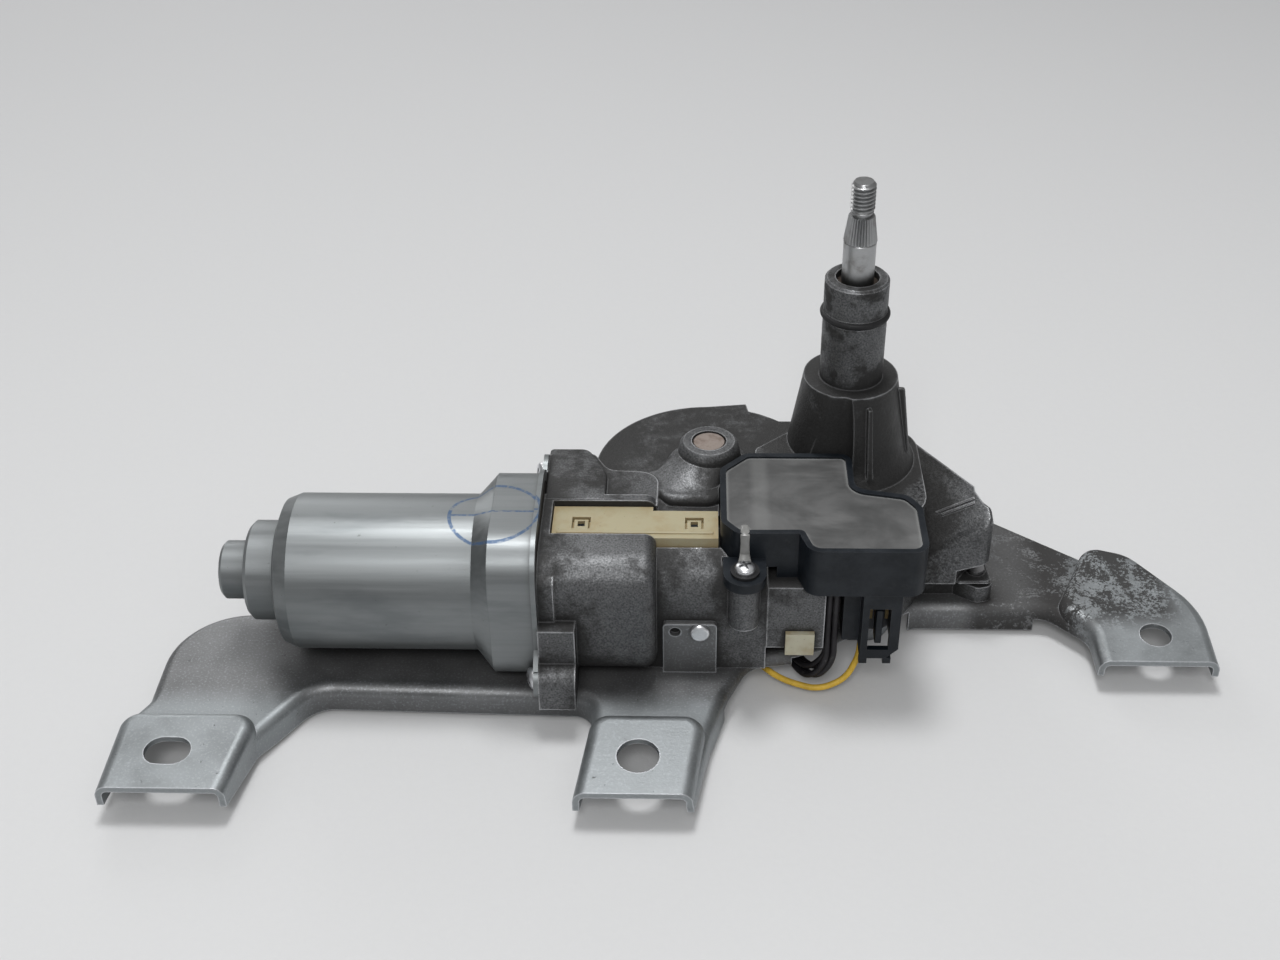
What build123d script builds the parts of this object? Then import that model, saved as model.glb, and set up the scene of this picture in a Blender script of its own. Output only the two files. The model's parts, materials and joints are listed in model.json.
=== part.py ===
from build123d import *
import math
import os

# Rear-window wiper motor: a geared motor on a pressed steel bracket.
# Millimetres. The origin is on the output shaft's axis, level with the ledge on top of the
# housing's tower. +Z runs up the shaft, the motor lies along -X, and the feet point to -Y.

os.makedirs("parts", exist_ok=True)

# ---------------------------------------------------------------- driving dimensions
FAR = 400.0                 # reach of a cutting block, well past the part
# fits
RUNNING_GAP = 0.04          # radial gap of a shaft in its bush
FIT_GAP = 0.2               # play round pieces that drop into place
AXIAL_PLAY = 0.3            # end play between pieces that turn past each other

# output shaft and the tube round it
SHAFT_R = 4.0
SHAFT_SMOOTH_TOP = 38.2
SERRATION_R = 4.15
SERRATION_TOP_R = 3.2
SERRATION_TOP = 44.9
STUD_R = 3.0                # M6 end that takes the wiper arm's nut
STUD_TOP = 53.8
STUD_CHAMFER = 0.7
TUBE_R = 8.0
TUBE_TOP = 28.2
TUBE_RECESS = 1.8           # depth of the bush below the tube's rim
BUSH_R = 5.4
BUSH_LENGTH = 16.0
RING_SECTION_R = 0.9        # rubber ring on the tube
RING_FLOOR_R = 6.95
RING_Z = 18.4
TOWER_TOP_R = 12.0
TOWER_BASE_R = 15.5
TOWER_FOOT_R = 18.0

# levels of the casting and the bracket
WEB_TOP = -57.0             # top of the bracket's web, where the casting stands
ROOF_TOP = -25.0
SEAT_TOP = -30.5            # step in the roof under the relay unit
WALL = 2.6
WHEEL_GAP = 1.0             # round the wheel in its chamber
COVER_DEPTH = 8.6           # cover's dish below the web's top
COVER_SHEET = 1.0

# worm gear
WHEEL_X = -36.0
WHEEL_Y = -7.0
WHEEL_TEETH = 50
WORM_MODULE = 1.0
WHEEL_TOOTH_LAND = 1.2      # tooth thickness on the pitch circle
WHEEL_FACE = 4.4
WHEEL_HUB_R = 7.0
WORM_PITCH_R = 4.7
WORM_CORE_R = 3.5
WORM_TIP_R = 5.6
WORM_THREAD_LAND = 0.9
WORM_TURNS = 7
GALLERY_R = 12.0            # casting round the worm
WHEEL_PIN_R = 4.45
BOSS_R = 7.6
BOSS_TOP = -16.0
CONTACT_DISC_R = 17.0
CONTACT_SHEET = 0.4

# motor
MOTOR_Z = -36.0
CAN_R = 19.6
CAN_WALL = 1.8
CAN_CORNER_R = 11.0         # corner of the squared mouth
CAN_SQUARE_HALF = 20.9
CAN_FRONT = -77.4           # face that meets the casting
CAN_FLANGE = 1.2
CAN_SQUARE_BACK = -89.0
CAN_ROUND_FRONT = -93.4
CAN_BACK = -142.8
CAN_SHOULDER_R = 4.5
CAN_STEP_R = 12.6
CAN_STEP_BACK = -150.8
CAN_NOSE_R = 7.4
CAN_NOSE_BACK = -158.2
EAR_R = 4.7
EAR_BACK = (-11.0, -23.6)   # (y, z) of the can's rear screw
EAR_FRONT = (-59.8, -50.8)  # (y, z) of the can's front screw
SMALL_SCREW_R = 1.5
SMALL_HEAD_R = 2.8
SMALL_HEAD_HEIGHT = 1.8
ROTOR_SHAFT_R = 2.5
SHAFT_END_GAP = 0.6         # between the shaft's back end and the can
CORE_R = 14.6
CORE_LENGTH = 26.0
CORE_SLOTS = 10
CORE_FRONT = -107.0
MAGNET_GAP = 0.8
MAGNET_LENGTH = 33.0
MAGNET_ANGLE = 130.0
WINDING_R = 13.2
WINDING_LENGTH = 6.5
COMMUTATOR_R = 7.0
COMMUTATOR_LENGTH = 10.0
COMMUTATOR_SETBACK = 3.6    # behind the can's mouth
BRUSH = (5.0, 6.5, 4.0)     # length along the axis, radial length, height

# reversing linkage under the wheel
GEAR_MODULE = 1.0
PINION_TEETH = 15
SEGMENT_TEETH = 30          # teeth that the gear segment's full circle would have
CRANK_R = 9.0
ROD_LENGTH = 31.5
ROD_SHEET = 3.2
LINK_SHEET = 1.6
LINK_PIN_R = 2.5
CRANK_PIN_R = 2.8
TOOTH_BACKLASH = 0.12
STUB_R = 3.0                # journal at the shaft's lower end
BOSS_WALL = 2.6

# bracket
SHEET = 1.6
BEND_R = 3.0                # outside radius of the folded edge
FLANGE_DEPTH = 7.4
FOOT_STEP = 4.0             # feet stand this far above the web
FOOT_SLOPE = 4.6            # degrees that the feet fall towards their free ends
RIGHT_STEP = 4.6
FOOT_BACK_Y = -69.4
FOOT_FRONT_Y = -94.0
RIGHT_BACK_Y = -2.0
RIGHT_FOOT_FRONT_Y = -45.9
FOOT_SLOT = (11.2, 8.2)
FOOT_SLOT_X = -164.3
CENTRE_HOLE_R = 5.1
CENTRE_HOLE_X = -52.6
FOOT_HOLE_Y = -82.7
RIGHT_HOLE_R = 4.0
RIGHT_HOLE = (78.3, -36.6)
PLUG_GAP = (-14.6, 17.0)    # the near flange is left out between these x for the plug
TAB_X = (-47.3, -34.0)      # upright tab that the worm's gallery is staked to
TAB_TOP = -41.4
STAKE_R = 1.6
TAB_HOLE_R = 1.4

# relay unit
UNIT_TOP = -17.0
UNIT_WALL = 1.5
UNIT_FLOOR = 1.6
UNIT_SCREW = (-27.5, -50.5)
LUG_R = 5.2
LUG_SHEET = 2.6
LUG_TOP = -24.6
UNIT_SCREW_R = 1.5
UNIT_HEAD_R = 2.5
UNIT_HEAD_HEIGHT = 1.7
WASHER_R = 3.5
WASHER_SHEET = 0.8
PLUG_X = (1.4, 10.8)
PLUG_Y = (-51.2, -38.5)
PLUG_BOTTOM = -51.0
PLUG_WALL = 1.6
PLUG_ROOF = -34.0
LATCH_X = (3.1, 8.3)
LATCH_Z = (-48.2, -35.2)
SHOULDER = (-2.8, -46.5)    # (x, y) of the plug's set-back left side
TERMINALS = 4
TERMINAL_WIDTH = 0.8
TERMINAL_PITCH = 1.3
TERMINAL_Y = -45.0
TERMINAL_DROP = 9.0

# cream terminal block between the motor's mouth and the relay unit
BLOCK_X = (-74.8, -50.0, -33.8)
BLOCK_Y = (-39.6, -27.6)
BLOCK_TOP = -22.2
BLOCK_HEIGHT = 6.0

# leads
WIRE_R = 0.8

# ---------------------------------------------------------------- sizes worked out from them
WHEEL_R = WORM_MODULE * WHEEL_TEETH / 2
MOTOR_Y = WHEEL_Y - WHEEL_R - WORM_PITCH_R
TAB_Y = MOTOR_Y - GALLERY_R
WORM_PITCH = math.pi * WORM_MODULE
CHAMBER_R = WHEEL_R + WORM_MODULE + WHEEL_GAP
CHAMBER_ROOF = ROOF_TOP - WALL
HUB_TOP = CHAMBER_ROOF - AXIAL_PLAY
WHEEL_TOP = MOTOR_Z + WHEEL_FACE / 2 + 0.2
WHEEL_BOTTOM = MOTOR_Z - WHEEL_FACE / 2 - 0.2
HUB_BOTTOM = WHEEL_BOTTOM - 2.4
CRANK_PIN_BOTTOM = WHEEL_BOTTOM - 4.9
ROD_TOP = CRANK_PIN_BOTTOM - AXIAL_PLAY
ROD_BOTTOM = ROD_TOP - ROD_SHEET
PINION_TOP = ROD_TOP + 0.4
PINION_BOTTOM = ROD_BOTTOM - 0.3
LINK_TOP = PINION_BOTTOM - 0.1
LINK_BOTTOM = LINK_TOP - LINK_SHEET
SHAFT_BOTTOM = LINK_BOTTOM - 1.6
PINION_R = GEAR_MODULE * PINION_TEETH / 2
SEGMENT_R = GEAR_MODULE * SEGMENT_TEETH / 2
LINK_LENGTH = PINION_R + SEGMENT_R
GEAR_RATIO = SEGMENT_TEETH / PINION_TEETH
COVER_BOTTOM = WEB_TOP - COVER_DEPTH
FLANGE_BOTTOM = WEB_TOP - FLANGE_DEPTH
BUSH_TOP = TUBE_TOP - TUBE_RECESS
LOWER_BUSH_BOTTOM = PINION_TOP + 0.9
UNIT_BOTTOM = SEAT_TOP


def corner_angle(side_a, side_b, opposite):
    """Angle in degrees between two sides of a triangle whose third side is known."""
    cosine = (side_a**2 + side_b**2 - opposite**2) / (2 * side_a * side_b)
    return math.degrees(math.acos(cosine))


# The crank, the rod and the link are in line at both ends of the wipe. The triangle of shaft,
# wheel and segment pin then gives the link's swing, the rod's swing on it, and the wipe.
SHAFT_TO_WHEEL = math.hypot(WHEEL_X, WHEEL_Y)
WHEEL_BEARING = math.degrees(math.atan2(WHEEL_Y, WHEEL_X)) % 360
NEAR_REACH = ROD_LENGTH - CRANK_R
FAR_REACH = ROD_LENGTH + CRANK_R
LINK_START = corner_angle(SHAFT_TO_WHEEL, LINK_LENGTH, NEAR_REACH)
LINK_END = corner_angle(SHAFT_TO_WHEEL, LINK_LENGTH, FAR_REACH)
ROD_START = corner_angle(LINK_LENGTH, NEAR_REACH, SHAFT_TO_WHEEL)
ROD_END = corner_angle(LINK_LENGTH, FAR_REACH, SHAFT_TO_WHEEL)
LINK_SWING = LINK_END - LINK_START
ROD_SWING = ROD_START - ROD_END
WIPE_ANGLE = LINK_SWING + GEAR_RATIO * ROD_SWING
LINK_BEARING = WHEEL_BEARING + LINK_START
SEGMENT_X = LINK_LENGTH * math.cos(math.radians(LINK_BEARING))
SEGMENT_Y = LINK_LENGTH * math.sin(math.radians(LINK_BEARING))
ROD_BEARING = LINK_BEARING + 180 + ROD_START
CRANK_X = SEGMENT_X + ROD_LENGTH * math.cos(math.radians(ROD_BEARING))
CRANK_Y = SEGMENT_Y + ROD_LENGTH * math.sin(math.radians(ROD_BEARING))


# ---------------------------------------------------------------- helpers
def outline(corners):
    """Flat face from (x, y, radius) corners."""
    points = [(x, y) for x, y, radius in corners]
    radii = [radius for x, y, radius in corners]
    return make_face(FilletPolyline(*points, radius=radii, close=True))


def slab(face, bottom, top):
    """Prism on a flat face between two heights."""
    return Pos(0, 0, bottom) * extrude(face, amount=top - bottom)


def rod(radius, bottom, top, x=0.0, y=0.0):
    """Upright cylinder between two heights."""
    return Pos(x, y, (bottom + top) / 2) * Cylinder(radius, top - bottom)


def axle(radius, start, end, y=MOTOR_Y, z=MOTOR_Z):
    """Cylinder along X, on the motor's axis unless told otherwise."""
    return Pos((start + end) / 2, y, z) * Rot(0, 90, 0) * Cylinder(radius, end - start)


def block(x, y, z):
    """Box between pairs of limits."""
    middle = [(low + high) / 2 for low, high in (x, y, z)]
    return Pos(*middle) * Box(x[1] - x[0], y[1] - y[0], z[1] - z[0])


def turned(profile):
    """Solid of revolution about Z from (radius, height) points."""
    return revolve(make_face(Plane.XZ * Polyline(*profile, close=True)), Axis.Z)


def gear_face(module, teeth, count, backlash, inner_r):
    """Toothed ring sector with involute flanks, its middle tooth space on +X."""
    pitch_r = module * teeth / 2
    base_r = pitch_r * math.cos(math.radians(20))
    tip_r = pitch_r + module * 0.95
    root_r = pitch_r - module * 1.2
    flank = [max(base_r, root_r) + (tip_r - max(base_r, root_r)) * step / 3 for step in range(4)]

    def involute(radius):
        pressure = math.acos(min(1.0, base_r / radius))
        return math.tan(pressure) - pressure

    half_tooth = (math.pi * module / 2 - backlash) / (2 * pitch_r) + involute(pitch_r)
    pitch_angle = 2 * math.pi / teeth
    points = []
    for number in range(count):
        middle = (number - (count - 1) / 2) * pitch_angle
        if count == teeth:
            middle = (number + 0.5) * pitch_angle
        rising = [(root_r, -(half_tooth - involute(flank[0])))]
        rising += [(radius, -(half_tooth - involute(radius))) for radius in flank]
        for radius, angle in rising + [(radius, -angle) for radius, angle in reversed(rising)]:
            points.append((radius * math.cos(middle + angle), radius * math.sin(middle + angle)))
    if count == teeth:
        return make_face(Polyline(*points, close=True))
    edge = (count / 2 + 0.25) * pitch_angle
    ends = [(radius * math.cos(angle), radius * math.sin(angle))
            for radius, angle in ((root_r, edge), (inner_r, edge), (inner_r, -edge), (root_r, -edge))]
    return make_face(Polyline(*points, *ends, close=True))


def save(**nodes):
    for name, shape in nodes.items():
        export_step(shape, f"parts/{name}.step")


# ---------------------------------------------------------------- pressed bracket
FRONT_SPARE = 6.0           # feet are drawn this much too long and then cut to length

bracket_corners = [
    (-179.2, FOOT_FRONT_Y - FRONT_SPARE, 0), (-178.4, -68.5, 4), (-175.0, -62.0, 4),
    (-175.0, -28.0, 19.5), (-92.0, -28.0, 16), (-70.5, -2.0, 14), (-61.0, 22.0, 18),
    (-28.0, 27.0, 12), (29.0, 27.0, 9), (68.5, -4.0, 6), (77.5, -5.0, 10), (92.8, -25.0, 24),
    (92.8, RIGHT_FOOT_FRONT_Y - FRONT_SPARE, 0), (62.6, RIGHT_FOOT_FRONT_Y - FRONT_SPARE, 0),
    (62.6, -34.0, 8), (53.0, -24.4, 6), (18.0, -24.4, 6), (-7.0, -40.5, 8),
    (-14.0, -43.2, 6), (-25.5, -44.8, 8), (-31.0, -57.0, 8), (-35.5, -72.5, 8),
    (-40.4, FOOT_FRONT_Y - FRONT_SPARE, 0), (-68.4, FOOT_FRONT_Y - FRONT_SPARE, 0),
    (-64.6, -71.0, 4), (-64.6, -59.2, 5), (-134.5, -57.4, 9), (-141.8, -69.0, 5),
    (-145.6, -75.5, 4), (-149.4, FOOT_FRONT_Y - FRONT_SPARE, 0)]
left_foot_corners = [
    (-179.2, FOOT_FRONT_Y - FRONT_SPARE, 0), (-178.4, FOOT_BACK_Y, 5),
    (-144.6, FOOT_BACK_Y, 5), (-149.4, FOOT_FRONT_Y - FRONT_SPARE, 0)]
centre_foot_corners = [
    (-68.4, FOOT_FRONT_Y - FRONT_SPARE, 0), (-64.2, FOOT_BACK_Y + 0.9, 5),
    (-36.2, FOOT_BACK_Y + 0.9, 5), (-40.4, FOOT_FRONT_Y - FRONT_SPARE, 0)]
right_foot_corners = [
    (62.6, RIGHT_FOOT_FRONT_Y - FRONT_SPARE, 0), (62.6, -34.0, 8), (55.2, -25.4, 5),
    (66.5, -1.6, 5), (77.5, -5.0, 10), (92.8, -25.0, 24),
    (92.8, RIGHT_FOOT_FRONT_Y - FRONT_SPARE, 0)]


def foot_form(corners, back, back_y, inset):
    """Raised foot whose top falls towards its free end."""
    face = offset(outline(corners), amount=-inset) if inset else outline(corners)
    prism = slab(face, FLANGE_BOTTOM - 2 * inset, back + 12)
    top = Plane(origin=(0, back_y, back - inset),
                z_dir=(0, -math.sin(math.radians(FOOT_SLOPE)), math.cos(math.radians(FOOT_SLOPE))))
    prism = split(prism, bisect_by=top, keep=Keep.BOTTOM)
    rim = prism.faces().sort_by(Axis.Z)[-1].edges()
    return fillet(rim, BEND_R - inset)


def pressing(inset):
    """Outside of the pressing, or its inside when inset by the sheet's thickness."""
    face = offset(outline(bracket_corners), amount=-inset) if inset else outline(bracket_corners)
    web = slab(face, FLANGE_BOTTOM - 2 * inset, WEB_TOP - inset)
    web = fillet(web.faces().sort_by(Axis.Z)[-1].edges(), BEND_R - inset)
    form = web + foot_form(left_foot_corners, WEB_TOP + FOOT_STEP, FOOT_BACK_Y, inset)
    form += foot_form(centre_foot_corners, WEB_TOP + FOOT_STEP, FOOT_BACK_Y, inset)
    form += foot_form(right_foot_corners, WEB_TOP + RIGHT_STEP, RIGHT_BACK_Y, inset)
    return form


def lengthways(face, start, end):
    """Prism along X on a face drawn in (y, z)."""
    return Pos(start, 0, 0) * extrude(Plane.YZ * face, amount=end - start)


# ---------------------------------------------------------------- plan of the gear chamber
CHAMBER_FRONT_Y = -30.5
CHAMBER_RIGHT_X = 16.8      # clears the gear segment's corner at the end of the wipe
chamber = Pos(WHEEL_X, WHEEL_Y) * Circle(CHAMBER_R)
chamber += outline([
    (-20, CHAMBER_FRONT_Y, 2), (10, CHAMBER_FRONT_Y, 7), (CHAMBER_RIGHT_X, -20, 8),
    (CHAMBER_RIGHT_X, 8, 8), (8, 13, 6), (-20, 13, 2)])
COVER_LAP = 1.5             # rebate in the casting's rim that takes the cover
DISH_INSET = 1.5
WINDOW_GAP = 0.8

# plan of the relay unit's potting; the case stands UNIT_WALL outside it
potting_face = outline([
    (-31.8, -18.7, 2), (-26.1, -12.7, 2), (-1.3, -12.7, 1.5), (-1.3, -27.5, 5),
    (12.1, -30.2, 3), (14.6, -34.3, 3), (14.6, -50.5, 2.5), (-11.2, -50.5, 2.5),
    (-13.4, -43.3, 1.5), (-28.7, -43.6, 2), (-31.8, -39.7, 2)])
case_face = offset(potting_face, amount=UNIT_WALL)
STEP_TOP = -27.2            # the unit's floor is raised where the worm's gallery passes under it
worm_step = block((-40, -19.5), (-50, -28.5), (SEAT_TOP - 1, STEP_TOP))

# ---------------------------------------------------------------- pressed bracket, cut to shape
sheet = pressing(0) - pressing(SHEET)
sheet -= block((-FAR, -20), (-FAR, FOOT_FRONT_Y), (-FAR, 0))
sheet -= block((40, FAR), (-FAR, RIGHT_FOOT_FRONT_Y), (-FAR, 0))
HOOK_DEPTH = 5.2            # what is left of the feet's sides at their free ends
hook_z = WEB_TOP + FOOT_STEP - 1.7 - HOOK_DEPTH
side_trim = make_face(Polyline((FOOT_BACK_Y, FLANGE_BOTTOM), (FOOT_FRONT_Y - 9, hook_z + 0.4),
                               (FOOT_FRONT_Y - 9, -FAR), (FOOT_BACK_Y, -FAR), close=True))
sheet -= lengthways(side_trim, -FAR, 0)
right_trim = make_face(Polyline((-6, FLANGE_BOTTOM), (-16, FLANGE_BOTTOM + 3.6),
                                (RIGHT_FOOT_FRONT_Y - 9, FLANGE_BOTTOM + 3.6),
                                (RIGHT_FOOT_FRONT_Y - 9, -FAR), (-6, -FAR), close=True))
sheet -= lengthways(right_trim, 50, FAR)
sheet -= block(PLUG_GAP, (-52, -22), (-FAR, WEB_TOP - SHEET))
sheet -= block((-32.5, PLUG_GAP[1]), (-60, -22), (-FAR, WEB_TOP - BEND_R - 0.6))
foot_fall = math.tan(math.radians(FOOT_SLOPE))
hole_top = WEB_TOP + FOOT_STEP + (FOOT_HOLE_Y - FOOT_BACK_Y) * foot_fall
right_top = WEB_TOP + RIGHT_STEP + (RIGHT_HOLE[1] - RIGHT_BACK_Y) * foot_fall


def foot_hole(face, x, y, z):
    """Punch square to the sloping foot."""
    return Pos(x, y, z) * Rot(FOOT_SLOPE, 0, 0) * Pos(0, 0, -5) * extrude(face, amount=10)


sheet -= foot_hole(SlotOverall(*FOOT_SLOT), FOOT_SLOT_X, FOOT_HOLE_Y, hole_top)
sheet -= foot_hole(Circle(CENTRE_HOLE_R), CENTRE_HOLE_X, FOOT_HOLE_Y, hole_top)
sheet -= foot_hole(Circle(RIGHT_HOLE_R), *RIGHT_HOLE, right_top)
window = offset(chamber, amount=WINDOW_GAP - DISH_INSET)
sheet -= slab(window, WEB_TOP - SHEET - 1, WEB_TOP + 1)
tab = block(TAB_X, (TAB_Y - SHEET, TAB_Y), (WEB_TOP - SHEET, TAB_TOP))
tab = fillet(tab.edges().filter_by(Axis.Y).group_by(Axis.Z)[-1], 1.0)
sheet -= block((TAB_X[0] - 0.5, TAB_X[1] + 0.5), (TAB_Y, TAB_Y + 9), (WEB_TOP - SHEET - 1, WEB_TOP + 1))
tab_hole = Pos(TAB_X[0] + 3.0, TAB_Y, TAB_TOP - 2.4) * Rot(90, 0, 0) * Cylinder(TAB_HOLE_R, 3 * SHEET)
stake_x = TAB_X[1] - 4.2
stake_z = TAB_TOP - 2.4
stake = Pos(stake_x, TAB_Y, stake_z) * Rot(90, 0, 0) * Cylinder(STAKE_R, 2 * SHEET)
sheet += tab
sheet = sheet - tab_hole - stake
bracket = sheet

# ---------------------------------------------------------------- cast gear housing
drum_face = offset(chamber, amount=WALL)
drum_face += outline([(-38, 15, 0), (-38, 22.4, 0), (-25.6, 24.0, 0.4), (-24.0, 15, 0)])
drum = slab(drum_face, WEB_TOP, ROOF_TOP)
WING_SLOPE = (0.69, 0.42)
wing_face = outline([(8, -19.3, 0), (29.7, -18.6, 4), (37.6, -12.6, 0.8), (34.6, -11.4, 0.8),
                     (17.8, 14.8, 3), (8, 14.8, 0)])
wing = slab(wing_face, WEB_TOP, 0)
wing_top = Plane(origin=(34.2, -19, -32.0), z_dir=(-WING_SLOPE[0], -WING_SLOPE[1], 1))
wing = split(wing, bisect_by=wing_top, keep=Keep.BOTTOM)
LEDGE_TOP = -51.0
corner_ledge = slab(outline([(27, -17, 0), (30.5, -19.8, 2), (34.6, -22.3, 2), (38.9, -21.4, 2.5),
                             (38.6, -12.2, 2), (30, -10, 0)]), WEB_TOP, LEDGE_TOP)
TOWER_FOOT_Z = -20.6
tower = turned([(0, ROOF_TOP - 2), (TOWER_FOOT_R, ROOF_TOP - 2), (TOWER_FOOT_R, ROOF_TOP),
                (TOWER_BASE_R, TOWER_FOOT_Z), (TOWER_TOP_R + 0.5, -3), (TOWER_TOP_R, 0),
                (TUBE_R, 0), (TUBE_R, TUBE_TOP - 0.6), (TUBE_R - 0.6, TUBE_TOP), (0, TUBE_TOP)])
boss = Pos(WHEEL_X, WHEEL_Y) * turned([
    (0, ROOF_TOP - 2), (BOSS_R + 4, ROOF_TOP - 2), (BOSS_R + 4, ROOF_TOP),
    (BOSS_R + 1, ROOF_TOP + 3), (BOSS_R, BOSS_TOP - 1), (BOSS_R - 1, BOSS_TOP), (0, BOSS_TOP)])
facet_face = outline([(-8.5, 9, 2), (-24.5, -5.5, 3), (-22.0, -12.0, 3), (2, -12, 0), (2, 9, 0)])
facet = slab(facet_face, ROOF_TOP - 1, TOWER_FOOT_Z + 0.6)
# flange block that the can is screwed to, with its channel for the terminal block
MOUTH_TOP = -20.5
REAR_TOP = -22.0
MOUTH_X = (CAN_FRONT, -49.0)
rear_block = slab(outline([(CAN_FRONT, -30, 0), (CAN_FRONT, -4.5, 1), (-66, -4.5, 3), (-62, -12, 4),
                           (MOUTH_X[1], -13, 5), (MOUTH_X[1], -30, 0)]), WEB_TOP, REAR_TOP)
front_face = outline([(-17.0 + MOTOR_Y, -54.4, 6), (-18.8 + MOTOR_Y, -47.0, 3),
                      (-18.8 + MOTOR_Y, MOUTH_TOP - 0.5, 8), (MOTOR_Y - 1, MOUTH_TOP, 2),
                      (MOTOR_Y + 12, MOUTH_TOP, 0), (MOTOR_Y + 12, -54.4, 0)])
front_block = lengthways(front_face, *MOUTH_X)
front_block = fillet(front_block.faces().sort_by(Axis.X)[-1].edges().sort_by(Axis.Y)[:3], 3.0)
flange_face = outline([(-19.4 + MOTOR_Y, -53.4, 4), (-19.4 + MOTOR_Y, -23.5, 3),
                       (MOTOR_Y, -23.5, 0), (MOTOR_Y, -53.4, 0)])
mouth_flange = lengthways(flange_face, CAN_FRONT, CAN_FRONT + 4)
ear_block = axle(EAR_R, CAN_FRONT, CAN_FRONT + 9, *EAR_FRONT)
ear_block += block((CAN_FRONT, CAN_FRONT + 9), (EAR_FRONT[0] - EAR_R, MOTOR_Y), (WEB_TOP, EAR_FRONT[1]))
ear_block += block((CAN_FRONT, CAN_FRONT + 9), (EAR_FRONT[0], MOTOR_Y), (WEB_TOP, MOTOR_Z))
ear_block += axle(EAR_R, CAN_FRONT, CAN_FRONT + 10, *EAR_BACK)
# gallery round the worm, and the end block
GALLERY_X = (-52.0, -21.7)
gallery = axle(GALLERY_R, *GALLERY_X)
gallery += block(GALLERY_X, (MOTOR_Y - GALLERY_R, -28), (WEB_TOP, MOTOR_Z))
END_BLOCK_X = (-21.7, -7.5)
END_BLOCK_BOTTOM = -49.6
end_front = MOTOR_Y - GALLERY_R - 0.4
end_block = block(END_BLOCK_X, (end_front, -28), (END_BLOCK_BOTTOM, SEAT_TOP))
screw_boss = rod(3.8, -40.0, LUG_TOP - LUG_SHEET, *UNIT_SCREW)
screw_boss += block((UNIT_SCREW[0] - 3.8, UNIT_SCREW[0] + 3.8), (UNIT_SCREW[1], MOTOR_Y - 4),
                    (-40.0, SEAT_TOP))
pad_face = Pos(WHEEL_X, WHEEL_Y) * Circle(BOSS_R + 3.6)
pad_face += outline([(-56, -13.5, 1), (-47, -23.5, 6), (-34, -24.0, 6), (-27, -12, 4), (-36, -2, 4)])
pad = slab(pad_face, ROOF_TOP - 2, ROOF_TOP + 2.6)
pad = fillet(pad.faces().sort_by(Axis.Z)[-1].edges(), 2.0)
casting = drum + wing + corner_ledge + tower + boss + pad + facet + rear_block + front_block + mouth_flange
casting += ear_block
casting += gallery
casting += end_block
casting += screw_boss
# seat of the relay unit
seat_cut = slab(offset(case_face, amount=FIT_GAP), SEAT_TOP, 0) - worm_step
seat_cut -= rod(3.8, -41, LUG_TOP - LUG_SHEET, *UNIT_SCREW)
casting -= seat_cut
casting -= rod(LUG_R + FIT_GAP, LUG_TOP - LUG_SHEET, 0, *UNIT_SCREW)
casting -= block((UNIT_SCREW[0] - LUG_R - FIT_GAP, UNIT_SCREW[0] + LUG_R + FIT_GAP),
                 (UNIT_SCREW[1], -43.0), (LUG_TOP - LUG_SHEET, 0))
# channel of the terminal block
CHANNEL_FLOOR = BLOCK_TOP - BLOCK_HEIGHT
channel_y = (BLOCK_Y[0] - 1.2, BLOCK_Y[1] + FIT_GAP)
casting -= block((CAN_FRONT + 2.4, BLOCK_X[2] + 1), channel_y, (CHANNEL_FLOOR, 0)) - axle(3, -40, -30)
# insides
SEAT_WALL = 2.2
hollow = slab(chamber, WEB_TOP - 1, CHAMBER_ROOF)
hollow -= slab(offset(case_face, amount=SEAT_WALL), SEAT_TOP - SEAT_WALL, CHAMBER_ROOF + 1)
hollow -= block((CAN_FRONT, BLOCK_X[2] + 3), (channel_y[0] - 3, channel_y[1] + 2),
                (CHANNEL_FLOOR - SEAT_WALL, CHAMBER_ROOF + 1))
hollow -= rod(BUSH_R + BOSS_WALL, LOWER_BUSH_BOTTOM, CHAMBER_ROOF + 1)
casting -= hollow
casting -= slab(offset(chamber, amount=COVER_LAP), WEB_TOP - 1, WEB_TOP + COVER_SHEET)
WORM_BORE_R = WORM_TIP_R + 0.8
WORM_BORE_X = (-53.0, -20.0)
casting -= axle(WORM_BORE_R, *WORM_BORE_X)
casting -= axle(ROTOR_SHAFT_R + 1.0, CAN_FRONT - 1, WORM_BORE_X[0])
FRONT_BEARING_X = (CAN_FRONT, CAN_FRONT + 8.0)
BEARING_R = 4.5
casting -= axle(BEARING_R, CAN_FRONT - 1, FRONT_BEARING_X[1])
END_BEARING_X = (WORM_BORE_X[1], WORM_BORE_X[1] + 7.0)
casting -= axle(BEARING_R, WORM_BORE_X[1] - 1, END_BEARING_X[1])
BALL_R = 1.8
ROTOR_END = -12.4
casting -= axle(ROTOR_SHAFT_R + 0.3, END_BEARING_X[1] - 1, ROTOR_END + 2 * BALL_R)
casting -= rod(SHAFT_R + 0.6, WEB_TOP, TUBE_TOP + 1)
casting -= rod(BUSH_R, LOWER_BUSH_BOTTOM - 1, LOWER_BUSH_BOTTOM + BUSH_LENGTH)
casting -= rod(BUSH_R, BUSH_TOP - BUSH_LENGTH / 2, TUBE_TOP + 1)
casting -= rod(WHEEL_PIN_R, ROOF_TOP - WALL - 1, BOSS_TOP + 1, WHEEL_X, WHEEL_Y)
groove = rod(TUBE_R + 1, RING_Z - RING_SECTION_R, RING_Z + RING_SECTION_R)
groove -= rod(RING_FLOOR_R, RING_Z - RING_SECTION_R, RING_Z + RING_SECTION_R)
casting -= groove
casting -= rod(UNIT_SCREW_R, -38.0, 0, *UNIT_SCREW)
for y, z in (EAR_BACK, EAR_FRONT):
    casting -= axle(SMALL_SCREW_R, CAN_FRONT - 1, CAN_FRONT + 8, y, z)
casting -= stake

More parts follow.
